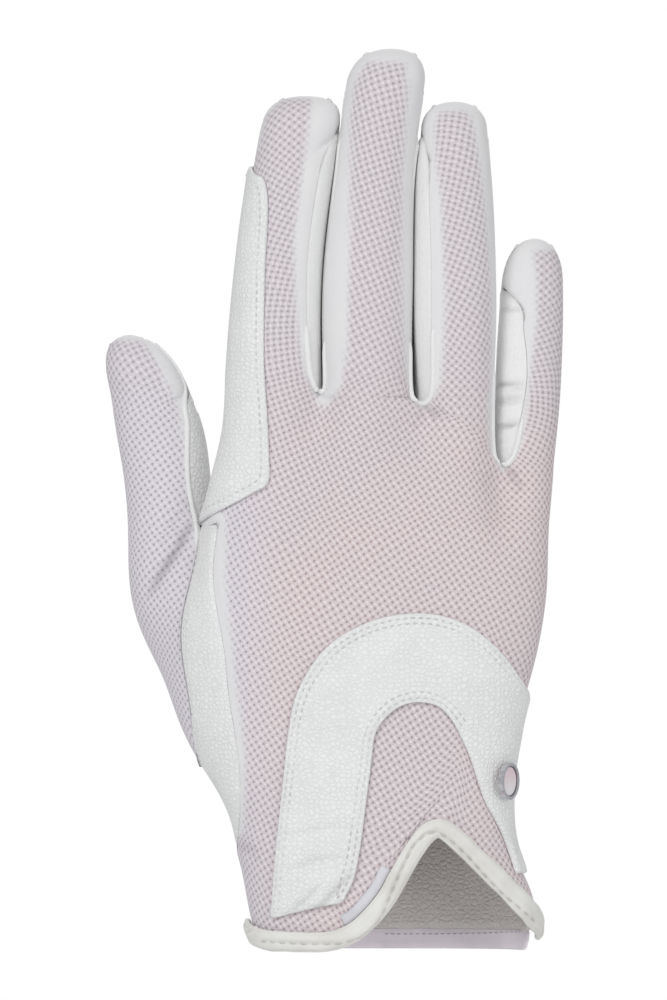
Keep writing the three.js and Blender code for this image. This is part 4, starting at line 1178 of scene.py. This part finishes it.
CAMERA_DISTANCE = 3.0
SENSOR = 36.0
VIEW_HEIGHT = PHOTO_HEIGHT * PIXEL
camera_data = bpy.data.cameras.new("photo_camera")
camera = bpy.data.objects.new("photo_camera", camera_data)
bpy.context.scene.collection.objects.link(camera)
camera_data.sensor_width = SENSOR
camera_data.lens = SENSOR * CAMERA_DISTANCE / VIEW_HEIGHT
camera.location = (across(PHOTO_WIDTH / 2), -CAMERA_DISTANCE, up(PHOTO_HEIGHT / 2))
camera.rotation_euler = (math.radians(90), 0, 0)
bpy.context.scene.camera = camera

FLOOR_LEVEL = -40 * MM
FLOOR_RADIUS = 0.5
bpy.ops.object.select_all(action="DESELECT")
bpy.ops.mesh.primitive_circle_add(
    vertices=96, radius=FLOOR_RADIUS, fill_type="NGON", location=(0, 0, FLOOR_LEVEL)
)
floor = bpy.context.object
floor.name = "studio_floor"
floor_finish, _, floor_shader = finish_of("studio_floor", 0.8)
floor_shader.inputs["Base Color"].default_value = linear(243, 243, 243)
floor.data.materials.append(floor_finish)


def soft_light(name, place, size, power):
    """A round soft light, aimed at the middle of the glove."""
    data = bpy.data.lights.new(name, "AREA")
    data.shape = "DISK"
    data.size = size
    data.energy = power
    light = bpy.data.objects.new(name, data)
    bpy.context.scene.collection.objects.link(light)
    light.location = place
    direction = Vector(CENTRE) - Vector(place)
    light.rotation_euler = direction.to_track_quat("-Z", "Y").to_euler()


CENTRE = (0, 0, 0.11)
soft_light("key_light", (-0.7, -1.3, 0.95), 0.7, 9.0)
soft_light("fill_light", (0.9, -1.3, 0.3), 0.9, 4.0)
soft_light("back_light", (0.2, 1.4, 0.9), 0.9, 7.0)

world = bpy.data.worlds.new("studio")
bpy.context.scene.world = world
world.use_nodes = True
world_nodes = world.node_tree.nodes
world_nodes.clear()
seen = world_nodes.new("ShaderNodeBackground")
seen.inputs["Color"].default_value = (1, 1, 1, 1)
seen.inputs["Strength"].default_value = 1.0
cast = world_nodes.new("ShaderNodeBackground")
cast.inputs["Color"].default_value = (0.97, 0.98, 1, 1)
cast.inputs["Strength"].default_value = 0.5
ray = world_nodes.new("ShaderNodeLightPath")
mixed = world_nodes.new("ShaderNodeMixShader")
world_out = world_nodes.new("ShaderNodeOutputWorld")
world_links = world.node_tree.links
world_links.new(ray.outputs["Is Camera Ray"], mixed.inputs[0])
world_links.new(cast.outputs[0], mixed.inputs[1])
world_links.new(seen.outputs[0], mixed.inputs[2])
world_links.new(mixed.outputs[0], world_out.inputs[0])
bpy.context.scene.view_settings.view_transform = "Standard"
